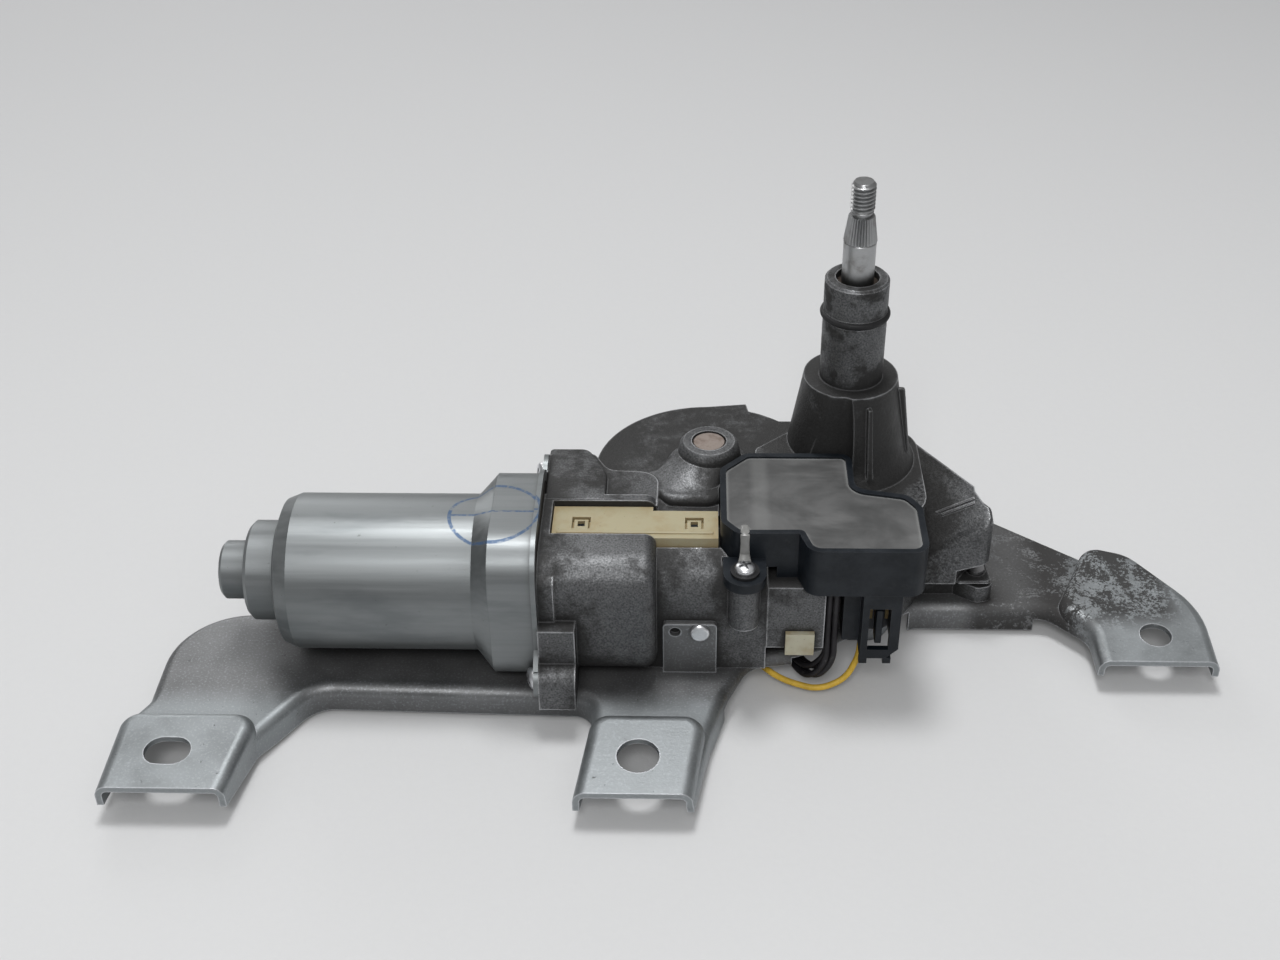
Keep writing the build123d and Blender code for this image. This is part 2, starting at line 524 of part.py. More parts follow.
# ---------------------------------------------------------------- cover of the gear chamber
DISH_CORNER_R = 2.0
lid_face = offset(chamber, amount=COVER_LAP - FIT_GAP)
dish_face = offset(chamber, amount=-DISH_INSET)
dish = slab(dish_face, COVER_BOTTOM, WEB_TOP + COVER_SHEET)
dish = fillet(dish.faces().sort_by(Axis.Z)[0].edges(), DISH_CORNER_R)
dish_inside = slab(offset(dish_face, amount=-COVER_SHEET), COVER_BOTTOM + COVER_SHEET, WEB_TOP + 2)
dish_inside = fillet(dish_inside.faces().sort_by(Axis.Z)[0].edges(), DISH_CORNER_R - COVER_SHEET)
cover = slab(lid_face, WEB_TOP, WEB_TOP + COVER_SHEET) + dish - dish_inside

# ---------------------------------------------------------------- output shaft
def star(radius, depth, points):
    """Outline of a serrated cone at one height."""
    corners = []
    for number in range(2 * points):
        angle = math.pi * number / points
        reach = radius - depth * (number % 2)
        corners.append((reach * math.cos(angle), reach * math.sin(angle)))
    return make_face(Polyline(*corners, close=True))


SERRATIONS = 30
SERRATION_DEPTH = 0.35
RING_GROOVE_R = 2.5
CLIP_SHEET = 0.8
CLIP_TOP = LINK_BOTTOM - 0.1
shaft = turned([
    (0, SHAFT_BOTTOM), (STUB_R - 0.4, SHAFT_BOTTOM), (STUB_R, SHAFT_BOTTOM + 0.4),
    (STUB_R, CLIP_TOP - CLIP_SHEET), (RING_GROOVE_R, CLIP_TOP - CLIP_SHEET),
    (RING_GROOVE_R, CLIP_TOP), (STUB_R, CLIP_TOP), (STUB_R, PINION_BOTTOM),
    (SHAFT_R, PINION_BOTTOM), (SHAFT_R, SHAFT_SMOOTH_TOP), (0, SHAFT_SMOOTH_TOP)])
shaft += loft([Pos(0, 0, SHAFT_SMOOTH_TOP) * star(SERRATION_R, SERRATION_DEPTH, SERRATIONS),
               Pos(0, 0, SERRATION_TOP) * star(SERRATION_TOP_R, SERRATION_DEPTH, SERRATIONS)],
              ruled=True)
shaft += turned([(0, SERRATION_TOP), (STUD_R - 0.4, SERRATION_TOP), (STUD_R - 0.4, SERRATION_TOP + 0.8),
                 (STUD_R, SERRATION_TOP + 1.2), (STUD_R, STUD_TOP - STUD_CHAMFER),
                 (STUD_R - STUD_CHAMFER, STUD_TOP), (0, STUD_TOP)])
clip = rod(STUB_R + 2.0, CLIP_TOP - CLIP_SHEET, CLIP_TOP) - rod(RING_GROOVE_R, -60, -40)
clip -= block((-1.2, 1.2), (0, 9), (-60, -40))
pinion = slab(gear_face(GEAR_MODULE, PINION_TEETH, PINION_TEETH, TOOTH_BACKLASH, 0),
              PINION_BOTTOM, PINION_TOP) - rod(SHAFT_R, -60, -40)
pinion = Rot(0, 0, LINK_BEARING) * pinion
washer = rod(BUSH_R + 0.6, PINION_TOP + 0.1, LOWER_BUSH_BOTTOM - 0.1)
washer -= rod(SHAFT_R + FIT_GAP, PINION_TOP, LOWER_BUSH_BOTTOM)
lower_bush = rod(BUSH_R, LOWER_BUSH_BOTTOM, LOWER_BUSH_BOTTOM + BUSH_LENGTH)
lower_bush -= rod(SHAFT_R + RUNNING_GAP, -60, 0)
upper_bush = rod(BUSH_R, BUSH_TOP - BUSH_LENGTH / 2, BUSH_TOP) - rod(SHAFT_R + RUNNING_GAP, 0, 40)
tube_ring = Pos(0, 0, RING_Z) * Torus(RING_FLOOR_R + RING_SECTION_R, RING_SECTION_R)

# ---------------------------------------------------------------- worm wheel and its pin
wheel_pin = rod(WHEEL_PIN_R, HUB_BOTTOM, BOSS_TOP - 0.3, WHEEL_X, WHEEL_Y)
wheel_pin = chamfer(wheel_pin.edges().filter_by(GeomType.CIRCLE), 0.5)


def wheel_teeth():
    """Wheel's toothed rim, one tooth space facing the worm."""
    land = WHEEL_TOOTH_LAND
    radii = (WHEEL_R - 1.15 * WORM_MODULE, WHEEL_R + 0.9 * WORM_MODULE)
    widths = (land + 0.75, land - 0.65)
    points = []
    for number in range(WHEEL_TEETH):
        middle = 2 * math.pi * (number + 0.5) / WHEEL_TEETH
        sides = [(radii[0], -widths[0]), (radii[1], -widths[1])]
        sides += [(radius, -width) for radius, width in reversed(sides)]
        for radius, width in sides:
            angle = middle + width / 2 / WHEEL_R
            points.append((radius * math.cos(angle), radius * math.sin(angle)))
    return make_face(Polyline(*points, close=True))


wheel = slab(Rot(0, 0, -90) * wheel_teeth(), MOTOR_Z - WHEEL_FACE / 2, MOTOR_Z + WHEEL_FACE / 2)
wheel += rod(WHEEL_R - 3, WHEEL_BOTTOM, WHEEL_TOP)
wheel += rod(WHEEL_HUB_R, HUB_BOTTOM, HUB_TOP)
wheel -= rod(WHEEL_PIN_R + RUNNING_GAP, -60, 0)
wheel = Pos(WHEEL_X, WHEEL_Y) * wheel
crank_socket = rod(CRANK_PIN_R, -60, WHEEL_TOP - 1.0, CRANK_X, CRANK_Y)
wheel -= crank_socket
crank_pin = rod(CRANK_PIN_R, CRANK_PIN_BOTTOM, WHEEL_TOP - 1.0, CRANK_X, CRANK_Y)
contact = rod(CONTACT_DISC_R, WHEEL_TOP, WHEEL_TOP + CONTACT_SHEET)
contact -= rod(WHEEL_HUB_R + FIT_GAP, -60, 0)
contact -= rod(CONTACT_DISC_R - 5.5, -60, 0) & block((2, 20), (-20, -2), (-60, 0))
contact = Pos(WHEEL_X, WHEEL_Y) * contact
SPRINGS = 3
SPRING_STEP = 4.5
leaf_tip = WHEEL_TOP + CONTACT_SHEET + 0.1
leaf_line = [(24.0, CHAMBER_ROOF), (17.5, CHAMBER_ROOF), (10.0, leaf_tip + CONTACT_SHEET),
             (8.2, leaf_tip + 2 * CONTACT_SHEET)]
leaf_top = [(WHEEL_Y + reach, z) for reach, z in leaf_line]
leaf_bottom = [(y, z - CONTACT_SHEET) for y, z in reversed(leaf_top)]
leaf_profile = make_face(Plane.YZ * Polyline(*leaf_top, *leaf_bottom, close=True))
springs = [Pos(WHEEL_X + SPRING_STEP * (number - 1) - 1, 0, 0) * extrude(leaf_profile, amount=2.2)
           for number in range(SPRINGS)]

# ---------------------------------------------------------------- rod, link and segment
ROD_WIDTH = 11.0
EYE_GAP = 0.05
TEETH_CUT = 8               # teeth on the rod's gear segment
mesh_bearing = -ROD_START + 1.5 * 360 / SEGMENT_TEETH
segment = Rot(0, 0, mesh_bearing) * gear_face(GEAR_MODULE, SEGMENT_TEETH, TEETH_CUT, TOOTH_BACKLASH, 4.0)
rod_face = outline([(-6.2, -ROD_WIDTH / 2, 5.4), (ROD_LENGTH + 5.6, -ROD_WIDTH / 2, 5.4),
                    (ROD_LENGTH + 5.6, ROD_WIDTH / 2, 5.4), (-6.2, ROD_WIDTH / 2, 5.4)])
rod_plate = slab(rod_face + segment, ROD_BOTTOM, ROD_TOP)
rod_plate -= rod(LINK_PIN_R + RUNNING_GAP, -60, -40)
rod_plate -= rod(CRANK_PIN_R + RUNNING_GAP, -60, -40, ROD_LENGTH, 0)
rod_plate = Pos(SEGMENT_X, SEGMENT_Y) * Rot(0, 0, ROD_BEARING) * rod_plate
link_face = outline([(-6, -5.6, 5.4), (LINK_LENGTH + 5.4, -5.6, 5.4),
                     (LINK_LENGTH + 5.4, 5.6, 5.4), (-6, 5.6, 5.4)])
link = slab(link_face, LINK_BOTTOM, LINK_TOP) - rod(STUB_R + RUNNING_GAP, -60, -40)
link -= rod(LINK_PIN_R, -60, -40, LINK_LENGTH, 0)
link = Rot(0, 0, LINK_BEARING) * link
link_pin = rod(LINK_PIN_R, LINK_BOTTOM, ROD_TOP + 0.3, SEGMENT_X, SEGMENT_Y)

# ---------------------------------------------------------------- motor
square = RectangleRounded(2 * CAN_SQUARE_HALF, 2 * CAN_SQUARE_HALF, CAN_CORNER_R)
mouth_inner = CAN_SQUARE_HALF - CAN_WALL
square_inner = RectangleRounded(2 * mouth_inner, 2 * mouth_inner, CAN_CORNER_R - CAN_WALL)
on_axis = Pos(MOTOR_Y, MOTOR_Z)


def can_form(wall):
    """Outside of the deep-drawn can, or its inside when a wall is given."""
    mouth = square_inner if wall else square
    back = CAN_BACK + wall
    profile = [(0, CAN_NOSE_BACK + wall), (CAN_NOSE_R - wall - 0.8, CAN_NOSE_BACK + wall),
               (CAN_NOSE_R - wall, CAN_NOSE_BACK + wall + 0.8), (CAN_NOSE_R - wall, CAN_STEP_BACK + wall),
               (CAN_STEP_R - wall - 1.0, CAN_STEP_BACK + wall),
               (CAN_STEP_R - wall, CAN_STEP_BACK + wall + 1.0),
               (CAN_STEP_R - wall, back), (CAN_R - wall - CAN_SHOULDER_R, back),
               (CAN_R - wall - 1.3, back + 1.3), (CAN_R - wall, back + CAN_SHOULDER_R),
               (CAN_R - wall, CAN_ROUND_FRONT), (0, CAN_ROUND_FRONT)]
    barrel = turned(profile)
    barrel = Pos(0, MOTOR_Y, MOTOR_Z) * Rot(0, 90, 0) * barrel
    ring = Plane.YZ * on_axis * Circle(CAN_R - wall)
    rounded = Plane.YZ * on_axis * mouth
    neck = loft([Pos(CAN_ROUND_FRONT, 0, 0) * ring, Pos(CAN_SQUARE_BACK, 0, 0) * rounded])
    return barrel + neck + lengthways(on_axis * mouth, CAN_SQUARE_BACK, CAN_FRONT)


plate_face = on_axis * RectangleRounded(2 * CAN_SQUARE_HALF + 1.4, 2 * CAN_SQUARE_HALF + 1.4, CAN_CORNER_R)
for y, z in (EAR_BACK, EAR_FRONT):
    reach = (y - MOTOR_Y, z - MOTOR_Z)
    turn = math.degrees(math.atan2(reach[1], reach[0]))
    span = math.hypot(*reach)
    plate_face += Pos(y, z) * Circle(EAR_R)
    plate_face += on_axis * Rot(0, 0, turn) * Pos(span / 2, 0) * Rectangle(span, 2 * EAR_R + 2)
can = can_form(0) + lengthways(plate_face, CAN_FRONT - CAN_FLANGE, CAN_FRONT)
can -= block((-FAR, 0), (-FAR, 0), (-FAR, WEB_TOP + 0.1))
can -= can_form(CAN_WALL)
for y, z in (EAR_BACK, EAR_FRONT):
    can -= axle(SMALL_SCREW_R, CAN_FRONT - 3, CAN_FRONT + 1, y, z)
can_screws = []
for y, z in (EAR_BACK, EAR_FRONT):
    seat = CAN_FRONT - CAN_FLANGE
    screw = axle(SMALL_HEAD_R, seat - SMALL_HEAD_HEIGHT, seat, y, z)
    screw = fillet(screw.faces().sort_by(Axis.X)[0].edges(), 0.9)
    screw += axle(SMALL_SCREW_R, seat - 0.1, CAN_FRONT + 7.5, y, z)
    can_screws.append(screw)

ROTOR_BACK = CAN_NOSE_BACK + CAN_WALL + SHAFT_END_GAP
rotor_shaft = axle(ROTOR_SHAFT_R, ROTOR_BACK, ROTOR_END)
rotor_shaft = chamfer(rotor_shaft.edges().filter_by(GeomType.CIRCLE), 0.4)
WORM_X = (-51.0, -21.5)
rotor_shaft += axle(WORM_CORE_R, *WORM_X)
worm_height = WORM_PITCH * (WORM_TURNS - 1)
thread_start = WHEEL_X - worm_height / 2
spiral = Helix(WORM_PITCH, worm_height, WORM_CORE_R)
base_half = WORM_THREAD_LAND / 2 + 0.35
tip_half = WORM_THREAD_LAND / 2 - 0.2
thread_profile = make_face(Plane.XZ * Polyline(
    (WORM_CORE_R - 0.3, -base_half), (WORM_TIP_R, -tip_half), (WORM_TIP_R, tip_half),
    (WORM_CORE_R - 0.3, base_half), close=True))
thread = sweep(thread_profile, path=spiral, is_frenet=True)
# the thread starts on the side that faces the wheel
thread = Pos(thread_start, MOTOR_Y, MOTOR_Z) * Rot(0, 90, 0) * Rot(0, 0, 90) * thread
rotor_shaft += thread

core = axle(CORE_R, CORE_FRONT - CORE_LENGTH, CORE_FRONT)
for number in range(CORE_SLOTS):
    turn = 360 / CORE_SLOTS * number
    gap = Pos(CORE_R - 2.0, 0, 0) * Box(6.0, 1.6, CORE_LENGTH + 2)
    gap += Pos(CORE_R - 6.2, 0, 0) * Cylinder(1.8, CORE_LENGTH + 2)
    gap = Rot(0, 0, turn) * gap
    core -= Pos(CORE_FRONT - CORE_LENGTH / 2, MOTOR_Y, MOTOR_Z) * Rot(0, 90, 0) * gap
core -= axle(ROTOR_SHAFT_R, -170, 0)
winding_back = CORE_FRONT - CORE_LENGTH
windings = [axle(WINDING_R, winding_back - WINDING_LENGTH, winding_back),
            axle(WINDING_R, CORE_FRONT, CORE_FRONT + WINDING_LENGTH)]
windings = [fillet(coil.edges().filter_by(GeomType.CIRCLE), 2.0) - axle(ROTOR_SHAFT_R, -170, 0)
            for coil in windings]
COMMUTATOR_X = (CAN_FRONT - COMMUTATOR_SETBACK - COMMUTATOR_LENGTH, CAN_FRONT - COMMUTATOR_SETBACK)
commutator = axle(COMMUTATOR_R, *COMMUTATOR_X) - axle(ROTOR_SHAFT_R, -170, 0)
BARS = CORE_SLOTS
for number in range(BARS):
    cut = Rot(0, 0, 360 / BARS * number) * Pos(COMMUTATOR_R, 0, 0) * Box(1.6, 0.5, COMMUTATOR_LENGTH + 1)
    commutator -= Pos(COMMUTATOR_X[0] + COMMUTATOR_LENGTH / 2, MOTOR_Y, MOTOR_Z) * Rot(0, 90, 0) * cut
MAGNET_R = CAN_R - CAN_WALL
magnet_ring = axle(MAGNET_R, CORE_FRONT - CORE_LENGTH / 2 - MAGNET_LENGTH / 2,
                   CORE_FRONT - CORE_LENGTH / 2 + MAGNET_LENGTH / 2)
magnet_ring -= axle(CORE_R + MAGNET_GAP, -170, 0)
magnets = []
half_gap = (180 - MAGNET_ANGLE) / 2
for side in (-1, 1):
    wedge = make_face(Polyline((0, 0), (60, side * 60 * math.tan(math.radians(half_gap))),
                               (60, side * 90), (-60, side * 90),
                               (-60, side * 60 * math.tan(math.radians(half_gap))), close=True))
    magnets.append(magnet_ring & lengthways(on_axis * wedge, -150, -90))
CAN_BEARING_R = CAN_NOSE_R - CAN_WALL
can_bearing = axle(CAN_BEARING_R, CAN_NOSE_BACK + CAN_WALL + 0.8, CAN_STEP_BACK + 1.6)
can_bearing -= axle(ROTOR_SHAFT_R + RUNNING_GAP, -170, 0)
front_bearing = axle(BEARING_R, *FRONT_BEARING_X) - axle(ROTOR_SHAFT_R + RUNNING_GAP, -170, 0)
end_bearing = axle(BEARING_R, *END_BEARING_X) - axle(ROTOR_SHAFT_R + RUNNING_GAP, -170, 0)
ball = Pos(ROTOR_END + BALL_R, MOTOR_Y, MOTOR_Z) * Sphere(BALL_R)

# ---------------------------------------------------------------- brush card
CARD_SHEET = 2.0
CARD_X = (CAN_FRONT - CARD_SHEET, CAN_FRONT)
HOLDER_WALL = 1.0
COIL_R = 1.4                # spring behind each brush
COIL_WIRE = 0.3
card_half = mouth_inner - FIT_GAP
card_face = RectangleRounded(2 * card_half, 2 * card_half, CAN_CORNER_R - CAN_WALL)
card = lengthways(on_axis * card_face, *CARD_X)
card -= axle(COMMUTATOR_R + 1.0, -90, -70)
card_brushes = []
card_springs = []
BRUSH_REST = COMMUTATOR_R + 0.05
brush_x = (COMMUTATOR_X[0] + 1.5, COMMUTATOR_X[0] + 1.5 + BRUSH[0])
for side in (-1, 1):
    reach = sorted((MOTOR_Z + side * (COMMUTATOR_R + 0.8), MOTOR_Z + side * (BRUSH_REST + BRUSH[1] + 2.6)))
    holder = block((brush_x[0] - 1.2, CARD_X[0]), (MOTOR_Y - BRUSH[2] / 2 - HOLDER_WALL,
                   MOTOR_Y + BRUSH[2] / 2 + HOLDER_WALL), reach)
    way = block((brush_x[0] - 0.1, brush_x[1] + 0.1), (MOTOR_Y - BRUSH[2] / 2 - 0.1,
                MOTOR_Y + BRUSH[2] / 2 + 0.1), (reach[0] - 1, reach[1] + 1))
    card += holder - way
    brush_z = sorted((MOTOR_Z + side * BRUSH_REST, MOTOR_Z + side * (BRUSH_REST + BRUSH[1])))
    carbon = block(brush_x, (MOTOR_Y - BRUSH[2] / 2, MOTOR_Y + BRUSH[2] / 2), brush_z)
    carbon -= axle(COMMUTATOR_R + 0.05, -100, -70)
    card_brushes.append(carbon)
    start = MOTOR_Z + side * (BRUSH_REST + BRUSH[1])
    turns = 3
    pitch = 0.75
    spiral = Helix(pitch, pitch * turns, COIL_R)
    coil = sweep(Plane.XZ * Pos(COIL_R, 0) * Rectangle(COIL_WIRE, COIL_WIRE), path=spiral, is_frenet=True)
    if side < 0:
        coil = Rot(180, 0, 0) * coil
    coil = Pos((brush_x[0] + brush_x[1]) / 2, MOTOR_Y, start + side * 0.2) * coil
    card_springs.append(coil)
card -= axle(COMMUTATOR_R + 0.8, -100, CARD_X[0])

# ---------------------------------------------------------------- relay unit
case = slab(case_face, UNIT_BOTTOM, UNIT_TOP)
raised_floor = (case & worm_step) + (case & (Pos(UNIT_FLOOR, -UNIT_FLOOR / 2, UNIT_FLOOR) * worm_step))
tray = slab(potting_face, UNIT_BOTTOM + UNIT_FLOOR, UNIT_TOP + 1) - raised_floor
case -= tray + worm_step
lug = rod(LUG_R, LUG_TOP - LUG_SHEET, LUG_TOP, *UNIT_SCREW)
lug += block((UNIT_SCREW[0] - LUG_R, UNIT_SCREW[0] + LUG_R), (UNIT_SCREW[1], -44.6),
             (LUG_TOP - LUG_SHEET, LUG_TOP))
lug -= rod(UNIT_SCREW_R + 0.2, -40, 0, *UNIT_SCREW)
case += lug
plug = block(PLUG_X, PLUG_Y, (PLUG_BOTTOM, UNIT_BOTTOM + 0.5))
plug = chamfer(plug.edges().filter_by(Axis.Y).sort_by(lambda e: e.center().Z - e.center().X)[0], 3.0)
plug_room = block((PLUG_X[0] + PLUG_WALL, PLUG_X[1] - PLUG_WALL),
                  (PLUG_Y[0] + PLUG_WALL, PLUG_Y[1] - PLUG_WALL), (PLUG_BOTTOM - 1, PLUG_ROOF))
plug -= plug_room
plug -= block(LATCH_X, (PLUG_Y[0] - 1, PLUG_Y[0] + PLUG_WALL + 1), LATCH_Z)
plug += block((SHOULDER[0], PLUG_X[0] + 0.5), (SHOULDER[1], PLUG_Y[1]),
              (PLUG_BOTTOM + 2, UNIT_BOTTOM + 0.5))
PLUG_NUB = (2.0, 1.8)       # width and depth of the nubs under the plug's front wall
for x in (PLUG_X[0] + 0.9, PLUG_X[1] - 2.6):
    plug += block((x - PLUG_NUB[0] / 2, x + PLUG_NUB[0] / 2), (PLUG_Y[0] + 0.2, PLUG_Y[0] + PLUG_WALL),
                  (PLUG_BOTTOM - PLUG_NUB[1], PLUG_BOTTOM))
plug -= plug_room
case += plug
BOARD_SHEET = 1.6
board_bottom = STEP_TOP + UNIT_FLOOR + 0.8
board_face = offset(potting_face, amount=-0.8)
board = slab(board_face, board_bottom, board_bottom + BOARD_SHEET)
POTTING_LEVEL = 0.6
potting = tray & slab(potting_face, UNIT_BOTTOM, UNIT_TOP - POTTING_LEVEL)
potting -= slab(board_face, board_bottom, board_bottom + BOARD_SHEET)
terminals = []
for number in range(TERMINALS):
    x = PLUG_X[0] + PLUG_WALL + 0.5 + TERMINAL_PITCH * (number + 0.5)
    pin = block((x - TERMINAL_WIDTH / 2, x + TERMINAL_WIDTH / 2), (TERMINAL_Y - 0.4, TERMINAL_Y + 0.4),
                (PLUG_ROOF - TERMINAL_DROP, board_bottom))
    terminals.append(pin)
    case -= pin
    potting -= pin
relay_washer = rod(WASHER_R, LUG_TOP, LUG_TOP + WASHER_SHEET, *UNIT_SCREW)
relay_washer -= rod(UNIT_SCREW_R + 0.1, -40, 0, *UNIT_SCREW)
head_seat = LUG_TOP + WASHER_SHEET
relay_screw = rod(UNIT_HEAD_R, head_seat, head_seat + UNIT_HEAD_HEIGHT, *UNIT_SCREW)
relay_screw = fillet(relay_screw.faces().sort_by(Axis.Z)[-1].edges(), 1.0)
relay_screw += rod(UNIT_SCREW_R, -36.0, head_seat + 0.1, *UNIT_SCREW)

# ---------------------------------------------------------------- terminal block
terminal_block = block((BLOCK_X[0], BLOCK_X[1]), BLOCK_Y, (BLOCK_TOP - BLOCK_HEIGHT, BLOCK_TOP))
terminal_block += block((BLOCK_X[1], BLOCK_X[2]), (BLOCK_Y[0] - 0.8, BLOCK_Y[1] - 1.6),
                        (BLOCK_TOP - BLOCK_HEIGHT, BLOCK_TOP))
for x in (-70.0, -42.0):
    terminal_block -= block((x, x + 4.6), (-36.6, -32.0), (BLOCK_TOP - 1.5, BLOCK_TOP + 1))


# ---------------------------------------------------------------- rivets, clip and leads
RIVET_R = 2.2
RIVET_HEAD = (3.8, 1.2)
RIVETS = ((-71.0, -13.0), (34.6, -17.2), (-36.5, -43.5))
web_bottom = WEB_TOP - SHEET
bracket_rivets = []
for x, y in RIVETS:
    rivet = rod(RIVET_R, web_bottom, WEB_TOP + 8, x, y)
    head = rod(RIVET_HEAD[0], web_bottom - RIVET_HEAD[1], web_bottom, x, y)
    bracket_rivets.append(rivet + fillet(head.faces().sort_by(Axis.Z)[0].edges(), 0.8))
    bracket -= rod(RIVET_R, web_bottom - 1, WEB_TOP + 1, x, y)
    casting -= rod(RIVET_R, WEB_TOP - 1, WEB_TOP + 8, x, y)
tab_rivet = Pos(stake_x, TAB_Y, stake_z) * Rot(90, 0, 0) * Cylinder(STAKE_R, 2 * SHEET)
tab_head = Pos(stake_x, TAB_Y - SHEET - 0.5, stake_z) * Rot(90, 0, 0) * Cylinder(STAKE_R + 0.9, 1.0)
tab_rivet += fillet(tab_head.faces().sort_by(Axis.Y)[0].edges(), 0.7)
CLIP_X = (-17.0, -9.9)
CLIP_Z = (-50.8, -44.2)
CLIP_THICK = 1.4
wire_clip = block(CLIP_X, (end_front - CLIP_THICK, end_front), CLIP_Z)
wire_clip += block(CLIP_X, (end_front - CLIP_THICK, end_front + 5), (CLIP_Z[0], END_BLOCK_BOTTOM))


def lead(points, radii):
    """Round lead along straight runs joined by arcs."""
    route = FilletPolyline(*points, radius=radii)
    start = Plane(origin=route @ 0, z_dir=route % 0)
    return sweep(start * Circle(WIRE_R), path=route)


def arc_radii(points):
    """Largest easy arc at each corner of a route."""
    radii = []
    for before, corner, after in zip(points, points[1:], points[2:]):
        arriving = Vector(*corner) - Vector(*before)
        leaving = Vector(*after) - Vector(*corner)
        turn = math.radians(arriving.get_angle(leaving))
        radii.append(0.45 * min(arriving.length, leaving.length) / math.tan(turn / 2))
    return radii


LEAD_SPACING = 0.86         # half the distance between neighbouring black leads
dish_front = CHAMBER_FRONT_Y + DISH_INSET
black_leads = []
for side, level in ((-1, -1), (-1, 1), (1, -1), (1, 1)):
    a = side * LEAD_SPACING
    b = level * LEAD_SPACING
    points = [(-13.5 + a, dish_front, -61.5 + b), (-13.5 + a, -40.6 + b / 2, -61.5 + b),
              (-9.6 + a, -47.0 + b, -60.0 + b), (-5.6 + a, -48.0 + b, -54.0 + b / 2),
              (-5.6 + a, -46.4 + b, -44.0), (-5.6 + a, -46.4 + b, UNIT_BOTTOM)]
    black_leads.append(lead(points, arc_radii(points)))
yellow_points = [(-26.0, -31.0, -62.2), (-24.5, -39.0, -62.2), (-17.5, -46.4, -62.8), (-8.0, -49.4, -63.4),
                 (-1.0, -47.5, -61.2), (2.4, -42.0, -58.2), (3.0, PLUG_Y[1] - PLUG_WALL / 2, -55.0),
                 (3.0, PLUG_Y[1] - PLUG_WALL / 2, PLUG_BOTTOM)]
yellow_lead = lead(yellow_points, arc_radii(yellow_points))

save(mounting_bracket=bracket, gear_housing=casting, gear_cover=cover, output_shaft=shaft,
     shaft_clip=clip, pinion=pinion, thrust_washer=washer, lower_bush=lower_bush,
     upper_bush=upper_bush, tube_ring=tube_ring, wheel_pin=wheel_pin, worm_wheel=wheel,
     crank_pin=crank_pin, contact_disc=contact, contact_springs=Compound(children=springs),
     sector_rod=rod_plate, link_plate=link, link_pin=link_pin, motor_can=can,
     can_screws=Compound(children=can_screws), armature_shaft=rotor_shaft, armature_core=core,
     armature_windings=Compound(children=windings), commutator=commutator,
     field_magnets=Compound(children=magnets), can_bearing=can_bearing,
     front_bearing=front_bearing, end_bearing=end_bearing, thrust_ball=ball, brush_card=card,
     brushes=Compound(children=card_brushes), brush_springs=Compound(children=card_springs),
     relay_case=case, circuit_board=board, relay_potting=potting,
     plug_terminals=Compound(children=terminals), relay_washer=relay_washer,
     relay_screw=relay_screw, terminal_block=terminal_block,
     bracket_rivets=Compound(children=bracket_rivets), tab_rivet=tab_rivet, wire_clip=wire_clip,
     wires_black=Compound(children=black_leads), wire_yellow=yellow_lead)
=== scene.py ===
# %% [markdown]
# # A rear wiper motor, dressed for the camera
# The motor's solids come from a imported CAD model. They already have the right size and place.
# This script gives each of them a finish, adds the details that are too fine for the solids,
# and sets up a floor, soft light and a camera. Blender's lengths are in metres. The sizes of
# small parts are easier to read in millimetres, so `MM` turns them into metres.

# %% Load the frame
import contextlib
import json
import math

import bmesh
import bpy
from mathutils import Matrix, Vector


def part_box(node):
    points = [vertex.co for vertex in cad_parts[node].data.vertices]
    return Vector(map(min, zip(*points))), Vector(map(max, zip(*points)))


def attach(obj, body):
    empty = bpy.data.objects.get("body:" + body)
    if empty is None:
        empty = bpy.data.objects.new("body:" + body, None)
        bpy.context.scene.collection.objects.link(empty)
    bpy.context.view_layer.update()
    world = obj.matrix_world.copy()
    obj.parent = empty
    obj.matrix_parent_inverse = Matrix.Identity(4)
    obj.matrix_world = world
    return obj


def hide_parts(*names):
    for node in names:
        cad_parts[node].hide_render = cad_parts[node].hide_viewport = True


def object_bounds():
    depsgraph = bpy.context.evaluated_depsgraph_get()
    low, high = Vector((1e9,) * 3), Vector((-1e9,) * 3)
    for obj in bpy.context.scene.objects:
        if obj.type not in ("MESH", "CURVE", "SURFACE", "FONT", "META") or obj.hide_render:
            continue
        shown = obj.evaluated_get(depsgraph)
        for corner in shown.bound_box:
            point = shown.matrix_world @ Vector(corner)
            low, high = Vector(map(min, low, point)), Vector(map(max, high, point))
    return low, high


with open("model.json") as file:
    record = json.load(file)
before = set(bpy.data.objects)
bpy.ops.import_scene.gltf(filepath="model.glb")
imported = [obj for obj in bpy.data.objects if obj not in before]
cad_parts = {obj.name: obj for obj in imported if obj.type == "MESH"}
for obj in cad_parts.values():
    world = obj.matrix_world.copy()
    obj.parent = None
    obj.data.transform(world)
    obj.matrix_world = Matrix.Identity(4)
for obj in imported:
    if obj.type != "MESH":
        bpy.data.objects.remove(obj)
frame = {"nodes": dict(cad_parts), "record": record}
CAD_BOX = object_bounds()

MM = 0.001

# %% [markdown]
# ## Camera
# A camera is fitted by its place, the way it looks and its lens. Three angles turn it: the
# heading about the vertical, the dip below the horizon and a small roll. From them come the
# directions of its right, up and forward axes, which are the columns of its rotation matrix.
# That is plainer to check than a track-to constraint, and it needs no target object.

# %% The camera
IMAGE_WIDTH_PX = 1280
FOCAL_LENGTH_PX = 1647.5
SENSOR_WIDTH_MM = 36.0
CAMERA_PLACE = Vector((-40.26, -358.92, 224.26)) * MM
CAMERA_DIP = math.radians(35.69)
CAMERA_HEADING = math.radians(2.24)
CAMERA_ROLL = math.radians(-0.95)


